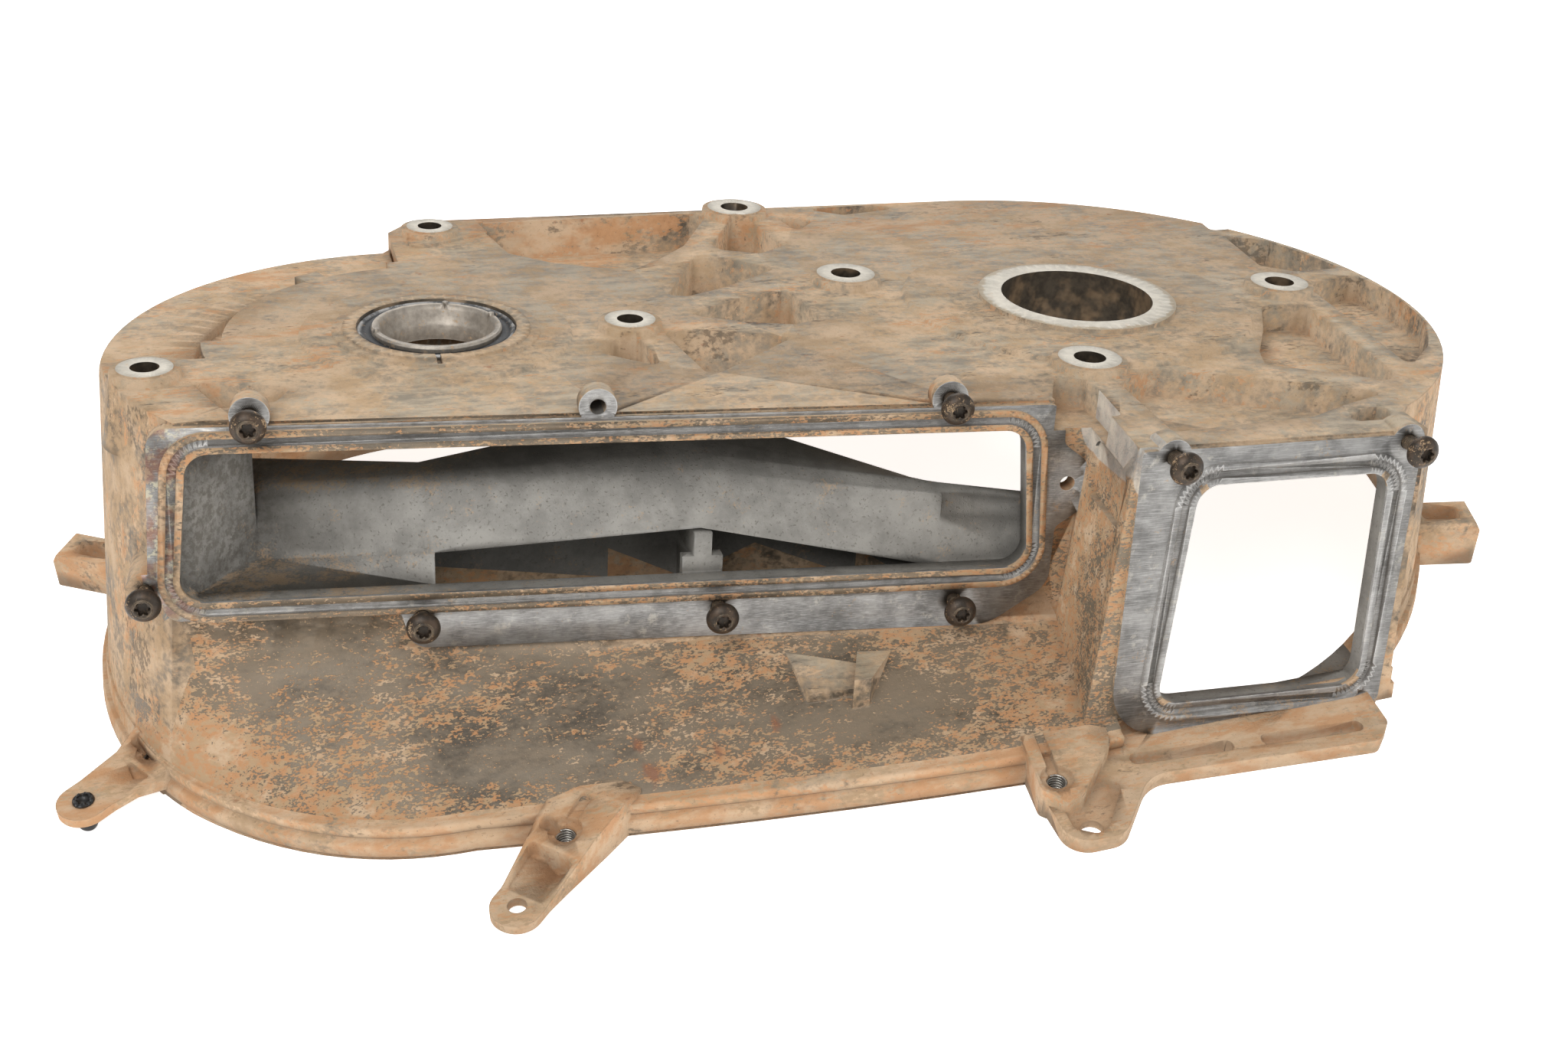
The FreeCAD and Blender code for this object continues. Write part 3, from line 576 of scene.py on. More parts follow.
def duct_material():
    """Clean grey casting skin inside the air ducts: painted shade under the top and in hollows,
    edges lighter as wear and painted highlight, stains on the floor.
    """
    c = colours()
    material, tree, shader = begin("duct skin")
    place = bore_place(tree)
    x, y, z = split(tree, place)
    up = facing(tree, (0, 0, 1))
    wear_and_shading = edge_wear_and_shading(tree, place, 0.002, 0.03)
    mottle = cloud(tree, place, (16.0, 6.0, 0.66, 9.0), 0.34, 0.66)
    bare = paint(tree, mottle, tuple(v * 0.7 for v in c.duct_grey), c.duct_grey)
    left = band(tree, x, -55.0, -85.0)
    rough = cloud(tree, place, (3.2, 5.0, 0.7, 15.0), 0.42, 0.6)
    bare = paint(tree, product(tree, left, rough, 0.75), bare, c.duct_dark)
    # painted shade: darker towards the top plate and in hollows, where shadow falls inside the
    # ducts
    ceiling = band(tree, z, -34.0, -17.0)
    ceiling_shade = calc(tree, "MAXIMUM", ceiling, product(tree, wear_and_shading["Hollow"], 0.5))
    bare = paint(tree, product(tree, ceiling_shade, 0.85), bare, tuple(v * 0.3 for v in c.duct_dark))
    specks = cloud(tree, place, (1.2, 2.0, 0.6, 13.0), 0.6, 0.7)
    bare = paint(tree, product(tree, specks, 0.5), bare, c.duct_dark)
    floor = band(tree, up, 0.3, 0.8)
    amount = weighed(tree, 0.10, (product(tree, floor, band(tree, x, 30.0, -40.0)), 0.34),
                     (band(tree, z, -60.0, -90.0), 0.10))
    dust = dust_over(tree, place, amount, 22.0, 6.0, 1.0, 0.25)
    base = paint(tree, product(tree, dust["Mask"], 0.55), bare, c.dust_tan)
    # outer edges lightened with the milled colour: rubbed wear and painted highlight
    base = coat(tree, base, wear_and_shading["Mask"], 0.55, c.milled)
    finish_with(tree, shader, base, 0.62, 0.3, skin_normal(tree, place, specks, 0.12))
    return material


def milled_material():
    """Machined flange: tool lines along the face, edges lighter as wear and painted highlight,
    painted shade in the grooves.
    """
    c, g = colours(), groups()
    material, tree, shader = begin("milled alloy")
    place = bore_place(tree)
    x, y, z = split(tree, place)
    wear_and_shading = edge_wear_and_shading(tree, place, 0.0007, 0.004)
    lines = use_group(tree, g["brushing"], {"Place": place, "Stretch": (0.05, 1.0, 1.0)})["Height"]
    tone = cloud(tree, place, (17.0, 6.0, 0.68, 2.0), 0.34, 0.66)
    base = paint(tree, tone, tuple(v * 0.5 for v in c.milled), c.milled)
    base = coat(tree, base, band(tree, lines, 0.42, 0.7), 0.3, c.milled_edge)
    chalk = cloud(tree, place, (6.0, 6.0, 0.72, 12.0), 0.56, 0.68)
    base = coat(tree, base, chalk, 0.4, c.spot_white)
    # painted shade: grooves found by ambient occlusion are darkened towards bare_dark
    base = coat(tree, base, wear_and_shading["Hollow"], 0.85, c.bare_dark)
    # outer edges brightened: rubbed wear and painted highlight
    base = coat(tree, base, wear_and_shading["Mask"], 0.85, c.milled_edge)
    left = band(tree, x, -92.0, -108.0)
    crust = product(tree, left, cloud(tree, place, (3.0, 5.0, 0.7, 23.0), 0.50, 0.58))
    base = coat(tree, base, crust, 0.75, c.oxide)
    brown = product(tree, band(tree, x, -96.0, -106.0),
                    cloud(tree, place, (8.0, 4.0, 0.6, 27.0), 0.44, 0.6))
    base = coat(tree, base, brown, 0.55, c.rust)
    shelf = band(tree, z, -110.0, -124.0)
    dust = dust_over(tree, place, weighed(tree, 0.10, (shelf, 0.2)), 20.0, 5.0, 0.9, 0.12)
    base = coat(tree, base, dust["Mask"], 0.5, c.dust_tan)
    soft = softened(tree, 0.0005)
    shine = band(tree, noise(tree, place, 6.0, 4.0, 0.6, 19.0), 0.3, 0.7, 0.36, 0.58)
    finish_with(tree, shader, base, shine, 0.6, bump(tree, lines, 0.00012, 0.5, soft))
    return material


def spot_material():
    """Turned faces round the holes, gone off-white with corrosion, with painted shade in hollows.
    """
    c = colours()
    material, tree, shader = begin("spot faces")
    place = bore_place(tree)
    wear_and_shading = edge_wear_and_shading(tree, place, 0.0006, 0.006)
    tone = cloud(tree, place, (5.0, 5.0, 0.65, 2.0), 0.3, 0.7)
    base = paint(tree, tone, tuple(v * 0.78 for v in c.spot_white), c.spot_white)
    dust = dust_over(tree, place, 0.2, 9.0, 3.0, 0.8, 0.15)
    base = coat(tree, base, dust["Mask"], 0.5, c.dust_pale_and_highlight)
    # painted shade: hollows found by ambient occlusion are darkened towards bare_dark
    base = coat(tree, base, wear_and_shading["Hollow"], 0.4, c.bare_dark)
    x, y, z = split(tree, place)
    for across, radius in ((0.0, 34.6), (280.0, 41.0)):
        far = distance(tree, calc(tree, "SUBTRACT", x, across), y)
        ragged = weighed(tree, far, (noise(tree, place, 9.0, 5.0, 0.7, radius), 12.0))
        lost = product(tree, band(tree, ragged, radius + 6.0, radius + 7.2),
                       band(tree, far, 60.0, 55.0))
        base = coat(tree, base, lost, 0.85, c.top_skin)
    grain = noise(tree, place, 0.7, 3.0, 0.6)
    soft = softened(tree, 0.0004)
    finish_with(tree, shader, base, 0.6, 0.3, bump(tree, grain, 0.0001, 0.6, soft))
    return material


def bore_wall_material():
    """Walls of holes and bores: dull turned metal with tan dust patches that also paint a glow of
    light.
    """
    c, g = colours(), groups()
    material, tree, shader = begin("hole walls")
    place = bore_place(tree)
    tone = cloud(tree, place, (4.0, 4.0, 0.6), 0.3, 0.7)
    base = paint(tree, tone, tuple(v * 0.5 for v in c.bare_dark), c.bare_dark)
    # tan patches: dust, and painted glow of light on the bore walls
    dust_and_glow = cloud(tree, place, (14.0, 3.0, 0.6, 6.0), 0.45, 0.65)
    base = coat(tree, base, dust_and_glow, 0.35, c.dust_tan)
    lines = use_group(tree, g["brushing"], {"Place": place, "Stretch": (0.1, 0.1, 1.0)})["Height"]
    finish_with(tree, shader, base, 0.5, 0.5, bump(tree, lines, 0.0001, 0.5))
    return material


def small_part_material(name, main, worn, dusty, rough, metal, amount, film=None):
    """Finish of a small fitted piece: its own colour, worn edges, a film, settled dust and painted
    shade in hollows.
    """
    c = colours()
    material, tree, shader = begin(name)
    place = bore_place(tree)
    wear_and_shading = edge_wear_and_shading(tree, place, 0.0008, 0.004)
    dust = dust_over(tree, place, amount, 7.0, 2.2, 0.6, 0.16)
    tone = cloud(tree, place, (3.0, 4.0, 0.6, 4.0), 0.3, 0.7)
    base = paint(tree, tone, tuple(v * 0.7 for v in main), main)
    if film:
        cover = cloud(tree, place, (4.0, 5.0, 0.7, 14.0), 0.42, 0.62)
        base = coat(tree, base, cover, 0.8, film)
    base = coat(tree, base, wear_and_shading["Mask"], 0.8, worn)
    base = coat(tree, base, dust["Mask"], 0.75, dusty)
    # painted shade: hollows found by ambient occlusion are darkened
    base = coat(tree, base, wear_and_shading["Hollow"], 0.5, tuple(v * 0.3 for v in c.bare_dark))
    grain = noise(tree, place, 0.5, 3.0, 0.6)
    soft = softened(tree, 0.0004)
    rough_out = band(tree, dust["Mask"], 0.0, 1.0, rough, 0.9)
    metal_out = band(tree, dust["Mask"], 0.0, 1.0, metal, 0.0)
    finish_with(tree, shader, base, rough_out, metal_out, bump(tree, grain, 0.00008, 0.6, soft))
    return material


def seal_material():
    """Black rubber lips inside a metal case whose rim is rubbed pale and corroded."""
    c = colours()
    material, tree, shader = begin("seal rubber")
    place = bore_place(tree)
    x, y, z = split(tree, place)
    out = distance(tree, x, y)
    rim = product(tree, band(tree, out, 29.6, 30.6),
                  cloud(tree, place, (7.0, 5.0, 0.65, 6.0), 0.42, 0.56))
    tone = cloud(tree, place, (3.0, 4.0, 0.6, 4.0), 0.3, 0.7)
    base = paint(tree, tone, tuple(v * 0.6 for v in c.rubber), c.rubber)
    base = coat(tree, base, rim, 0.85, c.milled)
    grit = cloud(tree, place, (1.6, 3.0, 0.6, 16.0), 0.62, 0.7)
    base = coat(tree, base, grit, 0.4, c.dust_tan)
    finish_with(tree, shader, base, band(tree, rim, 0.0, 1.0, 0.38, 0.5), rim,
                bump(tree, tone, 0.0001, 0.4))
    return material


# ---------------------------------------------------------------- meshes

def show(name, mesh, material_list, node):
    """Links a finished mesh as the piece that stands for a CAD node."""
    piece = bpy.data.objects.new(name, mesh)
    bpy.context.scene.collection.objects.link(piece)
    for material in material_list:
        mesh.materials.append(material)
    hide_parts(node)
    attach(piece, "root")
    return piece


def merged_copy(node, angle):
    """Copy of a CAD node's mesh with doubles merged, smooth below the angle and sharp above."""
    mesh = frame["nodes"][node].data.copy()
    mesh.materials.clear()
    work = bmesh.new()
    work.from_mesh(mesh)
    bmesh.ops.remove_doubles(work, verts=work.verts, dist=2e-6)
    bmesh.ops.dissolve_degenerate(work, edges=work.edges, dist=1e-6)
    work.to_mesh(mesh)
    work.free()
    mesh.shade_smooth()
    mesh.set_sharp_from_angle(angle=angle)
    return mesh


def face_centres(mesh):
    """Face centres in millimetres and face normals, both on the bores' axes."""
    count = len(mesh.polygons)
    centres = np.empty(count * 3)
    normals = np.empty(count * 3)
    mesh.polygons.foreach_get("center", centres)
    mesh.polygons.foreach_get("normal", normals)
    return to_bores(centres.reshape(-1, 3)), normals.reshape(-1, 3) @ LEAN


def grid_mesh(name, points, close_columns=True):
    """Quads over an array of rows and columns of points, wrapped round the columns."""
    rows, columns = points.shape[:2]
    index = np.arange(rows * columns).reshape(rows, columns)
    right = np.roll(index, -1, 1) if close_columns else index[:, 1:]
    left = index if close_columns else index[:, :-1]
    quads = np.stack([left[:-1], right[:-1], right[1:], left[1:]], -1).reshape(-1, 4)
    mesh = bpy.data.meshes.new(name)
    mesh.from_pydata(points.reshape(-1, 3), [], quads)
    return mesh


def tidy_mesh(mesh, angle, merge=1e-6):
    """Merges poles and seams, points faces outwards and sets smooth shading."""
    work = bmesh.new()
    work.from_mesh(mesh)
    bmesh.ops.remove_doubles(work, verts=work.verts, dist=merge)
    bmesh.ops.dissolve_degenerate(work, edges=work.edges, dist=merge)
    bmesh.ops.recalc_face_normals(work, faces=work.faces)
    work.to_mesh(mesh)
    work.free()
    mesh.shade_smooth()
    mesh.set_sharp_from_angle(angle=angle)
    return mesh


def revolved(profile, columns, origin, axis, reach=None):
    """Grid of points: profile rows (radius, height) swept round the axis through origin.

    A row's radius may be scaled per column by reach, an array of rows and columns, and the
    point is origin + radius (u cos t + w sin t) + height axis, with u and w square to axis.
    """
    profile = np.asarray(profile, float)
    axis = np.asarray(axis, float) / np.linalg.norm(axis)
    u = np.cross(axis, (0.0, 0.0, 1.0) if abs(axis[2]) < 0.9 else (1.0, 0.0, 0.0))
    u /= np.linalg.norm(u)
    w = np.cross(axis, u)
    turn = np.linspace(0.0, 2 * np.pi, columns, endpoint=False)
    radius = profile[:, :1] * np.ones((1, columns))
    if reach is not None:
        radius = radius * reach
    height = profile[:, 1:2] * np.ones((1, columns)) if profile.shape[1] == 2 else profile[:, 1:]
    round_it = np.cos(turn)[:, None] * u + np.sin(turn)[:, None] * w
    return np.asarray(origin, float) + radius[..., None] * round_it + height[..., None] * axis


def joined(name, grids, angle):
    """One mesh out of several closed grids of points."""
    points, quads, start = [], [], 0
    for grid in grids:
        rows, columns = grid.shape[:2]
        index = start + np.arange(rows * columns).reshape(rows, columns)
        right = np.roll(index, -1, 1)
        quads.append(np.stack([index[:-1], right[:-1], right[1:], index[1:]], -1).reshape(-1, 4))
        points.append(grid.reshape(-1, 3))
        start += rows * columns
    mesh = bpy.data.meshes.new(name)
    mesh.from_pydata(np.concatenate(points), [], np.concatenate(quads))
    return tidy_mesh(mesh, angle)


def solid_points(node):
    """Points of each separate solid of a CAD node, in the resting frame in metres."""
    work = bmesh.new()
    work.from_mesh(frame["nodes"][node].data)
    bmesh.ops.remove_doubles(work, verts=work.verts, dist=2e-6)
    work.verts.ensure_lookup_table()
    left, solids = set(range(len(work.verts))), []
    while left:
        stack, found = [left.pop()], []
        while stack:
            here = work.verts[stack.pop()]
            found.append(here.co[:])
            for edge in here.link_edges:
                other = edge.other_vert(here).index
                if other in left:
                    left.remove(other)
                    stack.append(other)
        solids.append(np.array(found))
    work.free()
    return sorted(solids, key=lambda cloud: tuple(cloud.mean(0)))


# ---------------------------------------------------------------- pieces

LONG_TURN = math.radians(-4.5)
LONG_FRONT, SQUARE_FRONT = -89.3, -156.0
# left, right, top, bottom and splay of each window along its flange
LONG_WINDOW = (-100.0, 215.0, -15.0, -75.0, 6.5)
SQUARE_WINDOW = (265.0, 346.0, -20.0, -115.0, 4.5)
RING_WIDTH = 8.4


# bosses of the top: place along and across, and the radius of the hole
BOSSES = ((-112.5, -32.5, 5.4), (12.6, 130, 5.4), (78.6, -4, 5.4), (161.6, 145, 6.6),
          (186.3, 42, 6.6), (254.5, -72.5, 6.6), (383.4, 6.5, 6.6))
SMALL_BORE, LARGE_BORE = 32.0, 33.3


def past_window(along, z, window):
    """How far a point of the flange lies outside the window's edge; negative inside."""
    left, right, top, bottom, splay = window
    lean = splay * (top - z) / (top - bottom)
    return np.maximum.reduce([z - top, bottom - z, left - lean - along, along - right - lean])


def covered(mesh):
    """Whether something of the mesh lies over each face, along the bores."""
    tree = BVHTree.FromPolygons([v.co[:] for v in mesh.vertices],
                                [p.vertices[:] for p in mesh.polygons])
    above = Vector(LEAN @ np.array([0.0, 0.0, 1.0]))
    return np.array([tree.ray_cast(p.center + p.normal * 0.0004, above)[0] is not None
                     for p in mesh.polygons])


def zones(mesh):
    """Finish of each face: 0 raw, 1 duct, 2 milled, 3 spot face, 4 hole wall, 5 front wall."""
    centre, normal = face_centres(mesh)
    x, y, z = centre.T
    across, _, up = normal.T
    cosine, sine = math.cos(LONG_TURN), math.sin(LONG_TURN)
    along = cosine * x + sine * (y - LONG_FRONT)
    out = sine * x - cosine * (y - LONG_FRONT)
    long_front = normal @ np.array([sine, -cosine, 0.0])
    square_out, square_front = SQUARE_FRONT - y, -normal[:, 1]
    past_long = past_window(along, z, LONG_WINDOW)
    past_square = past_window(x, z, SQUARE_WINDOW)
    above = z - RIM_ALONG * x - RIM_ACROSS * y - RIM_LEVEL
    zone = np.zeros(len(centre), np.int32)

    front = (np.maximum(long_front, square_front) > 0.1) & (x > -103) & (x < 262) & (out > -8)
    front |= (across < -0.5) & (x > 228) & (x < 250) & (y < -96) & (y > -157)
    zone[front & ((above > 42) | (x > 232)) & (above > 15.5) & (z < -2)] = 5
    lid = ~covered(mesh)
    duct = (along > -113) & (along < 237) & (z < -2) & (z > -96)
    duct &= (out < -0.25) & (out > -95) & ~lid & ~((long_front > 0.3) & (past_long > 8))
    duct &= ~((out > -6) & (past_long > 12))
    zone[duct] = 1
    inward = ((across > 0.3) & (x < 300)) | ((across < -0.3) & (x > 300))
    inward |= ((up > 0.3) & (z < -95)) | ((up < -0.3) & (z > -40))
    square_duct = (x > 240) & (x < 362) & (z < -8) & (z > -136) & (y < -60)
    zone[square_duct & (square_out < -0.25) & inward & ~lid] = 1

    ring = (past_long > -0.4) & (past_long < RING_WIDTH + 0.5) & (np.abs(out - 0.3) < 2.6)
    ring &= (along > -118) & (along < 236) & ~lid
    zone[ring & (out > -0.35)] = 2
    zone[(long_front > 0.9997) & (np.abs(out) < 0.1) & (along > -119) & (along < 245)
         & (z > -103)] = 2
    ring = (past_square > -0.4) & (past_square < RING_WIDTH + 0.5) & (square_out > -0.35)
    zone[ring & (square_out < 2.0) & (x > 238)] = 2
    zone[(square_front > 0.9997) & (np.abs(square_out) < 0.1) & (z > -133)] = 2
    round_places = ((0, 0), (BORE_DISTANCE / MM, 0), *(boss[:2] for boss in BOSSES))
    spread = np.minimum.reduce([np.hypot(x - a, y - b) for a, b in round_places])
    zone[(np.abs(z) < 0.4) & (up > 0.9) & (spread < 45)] = 3
    small, large = np.hypot(x, y), np.hypot(x - BORE_DISTANCE / MM, y)
    walls = (np.abs(large - LARGE_BORE) < 0.6) | (np.abs(small - SMALL_BORE) < 0.6)
    for a, b, r in BOSSES:
        walls |= np.abs(np.hypot(x - a, y - b) - r) < 0.5
    zone[walls & (np.abs(up) < 0.2)] = 4
    return zone


# front wall, in degrees about the small bore: radii of its foot where the rim's bead is, and
# how much of the ledge's depth the wall has pulled back there
FOOT_ANGLES = (203.0, 212.0, 221.0, 243.0, 268.0)
FOOT_RADII = (139.0, 139.5, 140.0, 142.5, 146.0)
FOOT_SHARES = (0.0, 0.2, 0.4, 0.8, 1.0)
FOOT_LEVEL, FOOT_RIGHT, FOOT_FRONT = -170.0, 247.0, -204.0
WALL_TOP, WALL_TOP_INSET = -98.0, 3.5
BEAD_OUT, LIP_OUT, LEDGE_IN = 2.5, 0.8, 3.2
# top line of the wall: its arc about the small bore, and where the arc and the line end
WALL_ANGLES, WALL_RADII = (203.0, 210.0, 216.7), (134.5, 133.0, 129.8)
WALL_LINE_START, WALL_LINE_KNEE = -104.0, -5.0


def front_path(count):
    """Top line, foot line and ledge share of the front wall, at count places along it.

    The top line is an arc about the small bore and then the long flange's straight line. The
    foot line is an arc about the small bore with a growing radius and then a straight line.
    """
    angle = np.linspace(FOOT_ANGLES[0], FOOT_ANGLES[-1], count // 2)
    turn = np.radians(angle)
    radius = np.interp(angle, FOOT_ANGLES, FOOT_RADII) + BEAD_OUT
    arc = np.stack([radius * np.cos(turn), radius * np.sin(turn)], -1)
    t = np.linspace(0.0, 1.0, count - len(arc) + 1)[1:, None]
    low = np.concatenate([arc, arc[-1] + t * ((FOOT_RIGHT, FOOT_FRONT - BEAD_OUT) - arc[-1])])
    share = np.interp(angle, FOOT_ANGLES, FOOT_SHARES)
    share = np.concatenate([share, np.ones(len(t))])

    def on_line(x):
        return np.stack([x, LONG_FRONT + WALL_TOP_INSET + x * math.tan(LONG_TURN)], -1)

    bend = np.radians(np.interp(angle, FOOT_ANGLES[:3], WALL_ANGLES))
    reach = np.interp(angle, FOOT_ANGLES[:3], WALL_RADII)
    high = np.stack([reach * np.cos(bend), reach * np.sin(bend)], -1)
    past = angle > FOOT_ANGLES[2]
    share_on = (angle[past] - FOOT_ANGLES[2]) / (FOOT_ANGLES[-1] - FOOT_ANGLES[2])
    high[past] = on_line(WALL_LINE_START + (WALL_LINE_KNEE - WALL_LINE_START) * share_on)
    high = np.concatenate([high, on_line(WALL_LINE_KNEE
                                         + t[:, 0] * (FOOT_RIGHT - WALL_LINE_KNEE))])
    return (np.column_stack([high, np.full(count, WALL_TOP)]),
            np.column_stack([low, np.full(count, FOOT_LEVEL)]), share)


def front_wall():
    """Front wall with its ledge, upright lip, groove and bead, as one closed strip.

    At each place along the wall the foot line meets the rim's plane at the rim edge. From
    there the section goes up by its heights and inwards by its depths, square to the edge, and
    a straight line joins the ledge to the wall's top line.
    """
    high, low, share = front_path(180)
    lean = np.array([RIM_ALONG, RIM_ACROSS, -1.0])
    start, end = high @ lean + RIM_LEVEL, low @ lean + RIM_LEVEL
    edge = to_rest(high + (start / (start - end))[:, None] * (low - high)) / MM
    top = to_rest(high) / MM
    along = np.gradient(edge[:, :2], axis=0)
    along /= np.linalg.norm(along, axis=1)[:, None]
    inward = np.column_stack([-along[:, 1], along[:, 0], np.zeros(len(along))])
    step = np.linspace(0.0, 1.0, len(edge))[:, None]
    sunk = 0.9 * np.clip(1 - step / 0.06, 0, 1) + 0.9 * np.clip(1 - (1 - step) / 0.02, 0, 1)
    lip = BEAD_OUT - LIP_OUT - 0.2 * share[:, None]
    foot = BEAD_OUT + LEDGE_IN * share[:, None]
    section = [(foot + 0.25, 15.3), (foot - 0.1, 14.75), (foot - 0.6, 14.45), (lip + 1.0, 14.5),
               (lip + 0.35, 14.3), (lip + 0.05, 13.7), (lip, 12.8), (lip, 10.0),
               (lip + 0.5, 9.3), (lip + 0.9, 8.7), (lip + 0.6, 7.9), (lip - 0.4, 7.3),
               (0.75, 7.0), (0.25, 6.4), (0.0, 5.4), (0.0, 3.4), (0.05, 1.6), (0.3, 0.8),
               (0.9, 0.3), (7.0, 0.3)]
    rows = [edge + (depth + sunk) * inward + (0, 0, height) for depth, height in section]
    wall = top - (0, 0, 1.0) + 0.6 * inward
    climb = np.linspace(0.0, 1.0, 24)[:-1]
    rows = [wall + t * (rows[0] - wall) for t in climb] + rows
    points = np.stack(rows, 1) * MM
    mesh = grid_mesh("front wall", points)
    zone = np.zeros(len(mesh.polygons), np.int32).reshape(len(edge) - 1, -1)
    zone[:, :len(climb)] = 5
    mesh.polygons.foreach_set("material_index", zone.ravel())
    return mesh


def with_closed(mesh, extra, angle):
    """Puts a second mesh into the first, its open ends filled and its faces outwards."""
    work = bmesh.new()
    work.from_mesh(extra)
    bmesh.ops.holes_fill(work, edges=[e for e in work.edges if e.is_boundary], sides=0)
    bmesh.ops.recalc_face_normals(work, faces=work.faces)
    work.to_mesh(extra)
    work.clear()
    work.from_mesh(mesh)
    work.from_mesh(extra)
    work.to_mesh(mesh)
    work.free()
    bpy.data.meshes.remove(extra)
    mesh.shade_smooth()
    mesh.set_sharp_from_angle(angle=angle)


class COVER_OT_casting(Operator):
    """Dress the cast body: raw skin, front wall, duct skin, milled faces and spot faces"""
    bl_idname = "cover.casting"
    bl_label = "Cover casting"

    def execute(self, context):
        mesh = merged_copy("cover_casting", math.radians(32))
        mesh.polygons.foreach_set("material_index", zones(mesh))
        with_closed(mesh, front_wall(), math.radians(32))
        show("cast_cover", mesh,
             [cast_material(), duct_material(), milled_material(), spot_material(),
              bore_wall_material(), front_material()],
             "cover_casting")
        return {"FINISHED"}


class COVER_OT_seal(Operator):
    """Dress the rubber shaft seal and the metal collar inside it"""
    bl_idname = "cover.seal"
    bl_label = "Shaft seal and collar"

    def execute(self, context):
        c = colours()
        metal = small_part_material("collar metal", c.collar, (0.62, 0.58, 0.52), c.dust_tan,
                                    0.5, 0.6, 0.22)
        show("shaft_seal_ring", merged_copy("shaft_seal", math.radians(32)), [seal_material()],
             "shaft_seal")
        show("seal_collar_ring", merged_copy("seal_collar", math.radians(32)), [metal],
             "seal_collar")
        return {"FINISHED"}


def screw_grid(points):
    """Screw as one revolved surface: socket, domed head, shank and thread.

    Round the socket the radius is r (1 + 0.17 cos 6t) / 1.17, six lobes; along the shank it
    is r - depth |2 frac(h / pitch - t / turn) - 1|, a thread with one start.
    """
    place = to_bores(points)
    square = place[:, 0].mean() > 250
    turn = 0.0 if square else LONG_TURN
    axis = LEAN @ np.array([math.sin(turn), -math.cos(turn), 0.0])
    level = points @ axis
    flat = points - np.outer(level, axis)
    middle = (flat.min(0) + flat.max(0)) / 2
    tip, top = level.min(), level.max()
    columns, size = sizes().screw_sides, sizes()
    rim = [(5.75, -5.0), (6.2, -4.85), (6.42, -4.5), (6.46, -4.1), (6.46, -3.3), (6.38, -2.9),
           (6.15, -2.45), (5.75, -1.85), (5.2, -1.25), (4.6, -0.8), (4.0, -0.5), (3.65, -0.42),
           (3.5, -0.12), (3.3, -0.02), (3.05, -0.05), (2.9, -0.25)]
    socket = [(2.85, -0.6), (2.82, -1.5), (2.8, -2.5), (1.6, -2.6), (0.0, -2.75)]
    shank = (top - tip) / MM - 5.0
    heights = np.arange(-shank + 0.9, -0.8, size.thread_pitch / MM / 5) - 5.0
    stem = [(0.0, -shank - 5.0), (2.0, -shank - 5.0), (2.45, -shank - 4.6)]
    thread = [(2.9, h) for h in heights]
    profile = np.array(stem + thread + [(2.88, -5.4), (3.1, -5.02)] + rim + socket)
    angle = np.linspace(0.0, 1.0, columns, endpoint=False)
    reach = np.ones((len(profile), columns))
    wave = (heights[:, None] / (size.thread_pitch / MM) - angle) % 1.0
    reach[3:3 + len(thread)] -= size.thread_depth / MM * (1 - np.abs(2 * wave - 1)) / 2.9
    lobes = (1 + 0.17 * np.cos(12 * np.pi * angle)) / 1.17
    reach[-len(socket):] *= lobes
    reach[-len(socket) - 1] *= (lobes + 1) / 2
    return revolved(profile * MM, columns, middle + axis * top, axis, reach)


class COVER_OT_screws(Operator):
    """Dress the flange screws, with sockets and threads"""
    bl_idname = "cover.screws"
    bl_label = "Flange screws"

    def execute(self, context):
        c = colours()
        steel = small_part_material("screw steel", c.screw_black, c.screw_worn, c.dust_tan,
                                    0.45, 0.5, 0.24, c.screw_rust)
        mesh = joined("screws", [screw_grid(cloud) for cloud in solid_points("flange_screws")],
                      math.radians(40))
        show("flange_screw_set", mesh, [steel], "flange_screws")
        return {"FINISHED"}


def coil_grid(points):
    """Wire thread insert: a diamond wire carried up a helix, closed at both ends."""
    low, high = points.min(0), points.max(0)
    middle = (low + high) / 2
    outer = (high[0] - low[0]) / 2
    wire, inner = 0.00042, 0.0033
    pitch = sizes().thread_pitch * 1.25
    turns = (high[2] - low[2] - 2 * wire) / pitch
    along = np.linspace(0.0, turns, int(turns * 40))
    angle = 2 * np.pi * along
    centre_r = (outer + inner) / 2
    half = (outer - inner) / 2
    side = np.linspace(0.0, 2 * np.pi, 8, endpoint=False)
    taper = np.ones_like(along)
    taper[0] = taper[-1] = 0.0
    radius = centre_r + half * np.outer(taper, np.cos(side))
    height = low[2] + wire + (along * pitch)[:, None] + wire * np.outer(taper, np.sin(side))
    return np.stack([middle[0] + radius * np.cos(angle)[:, None],
                     middle[1] + radius * np.sin(angle)[:, None], height], -1)


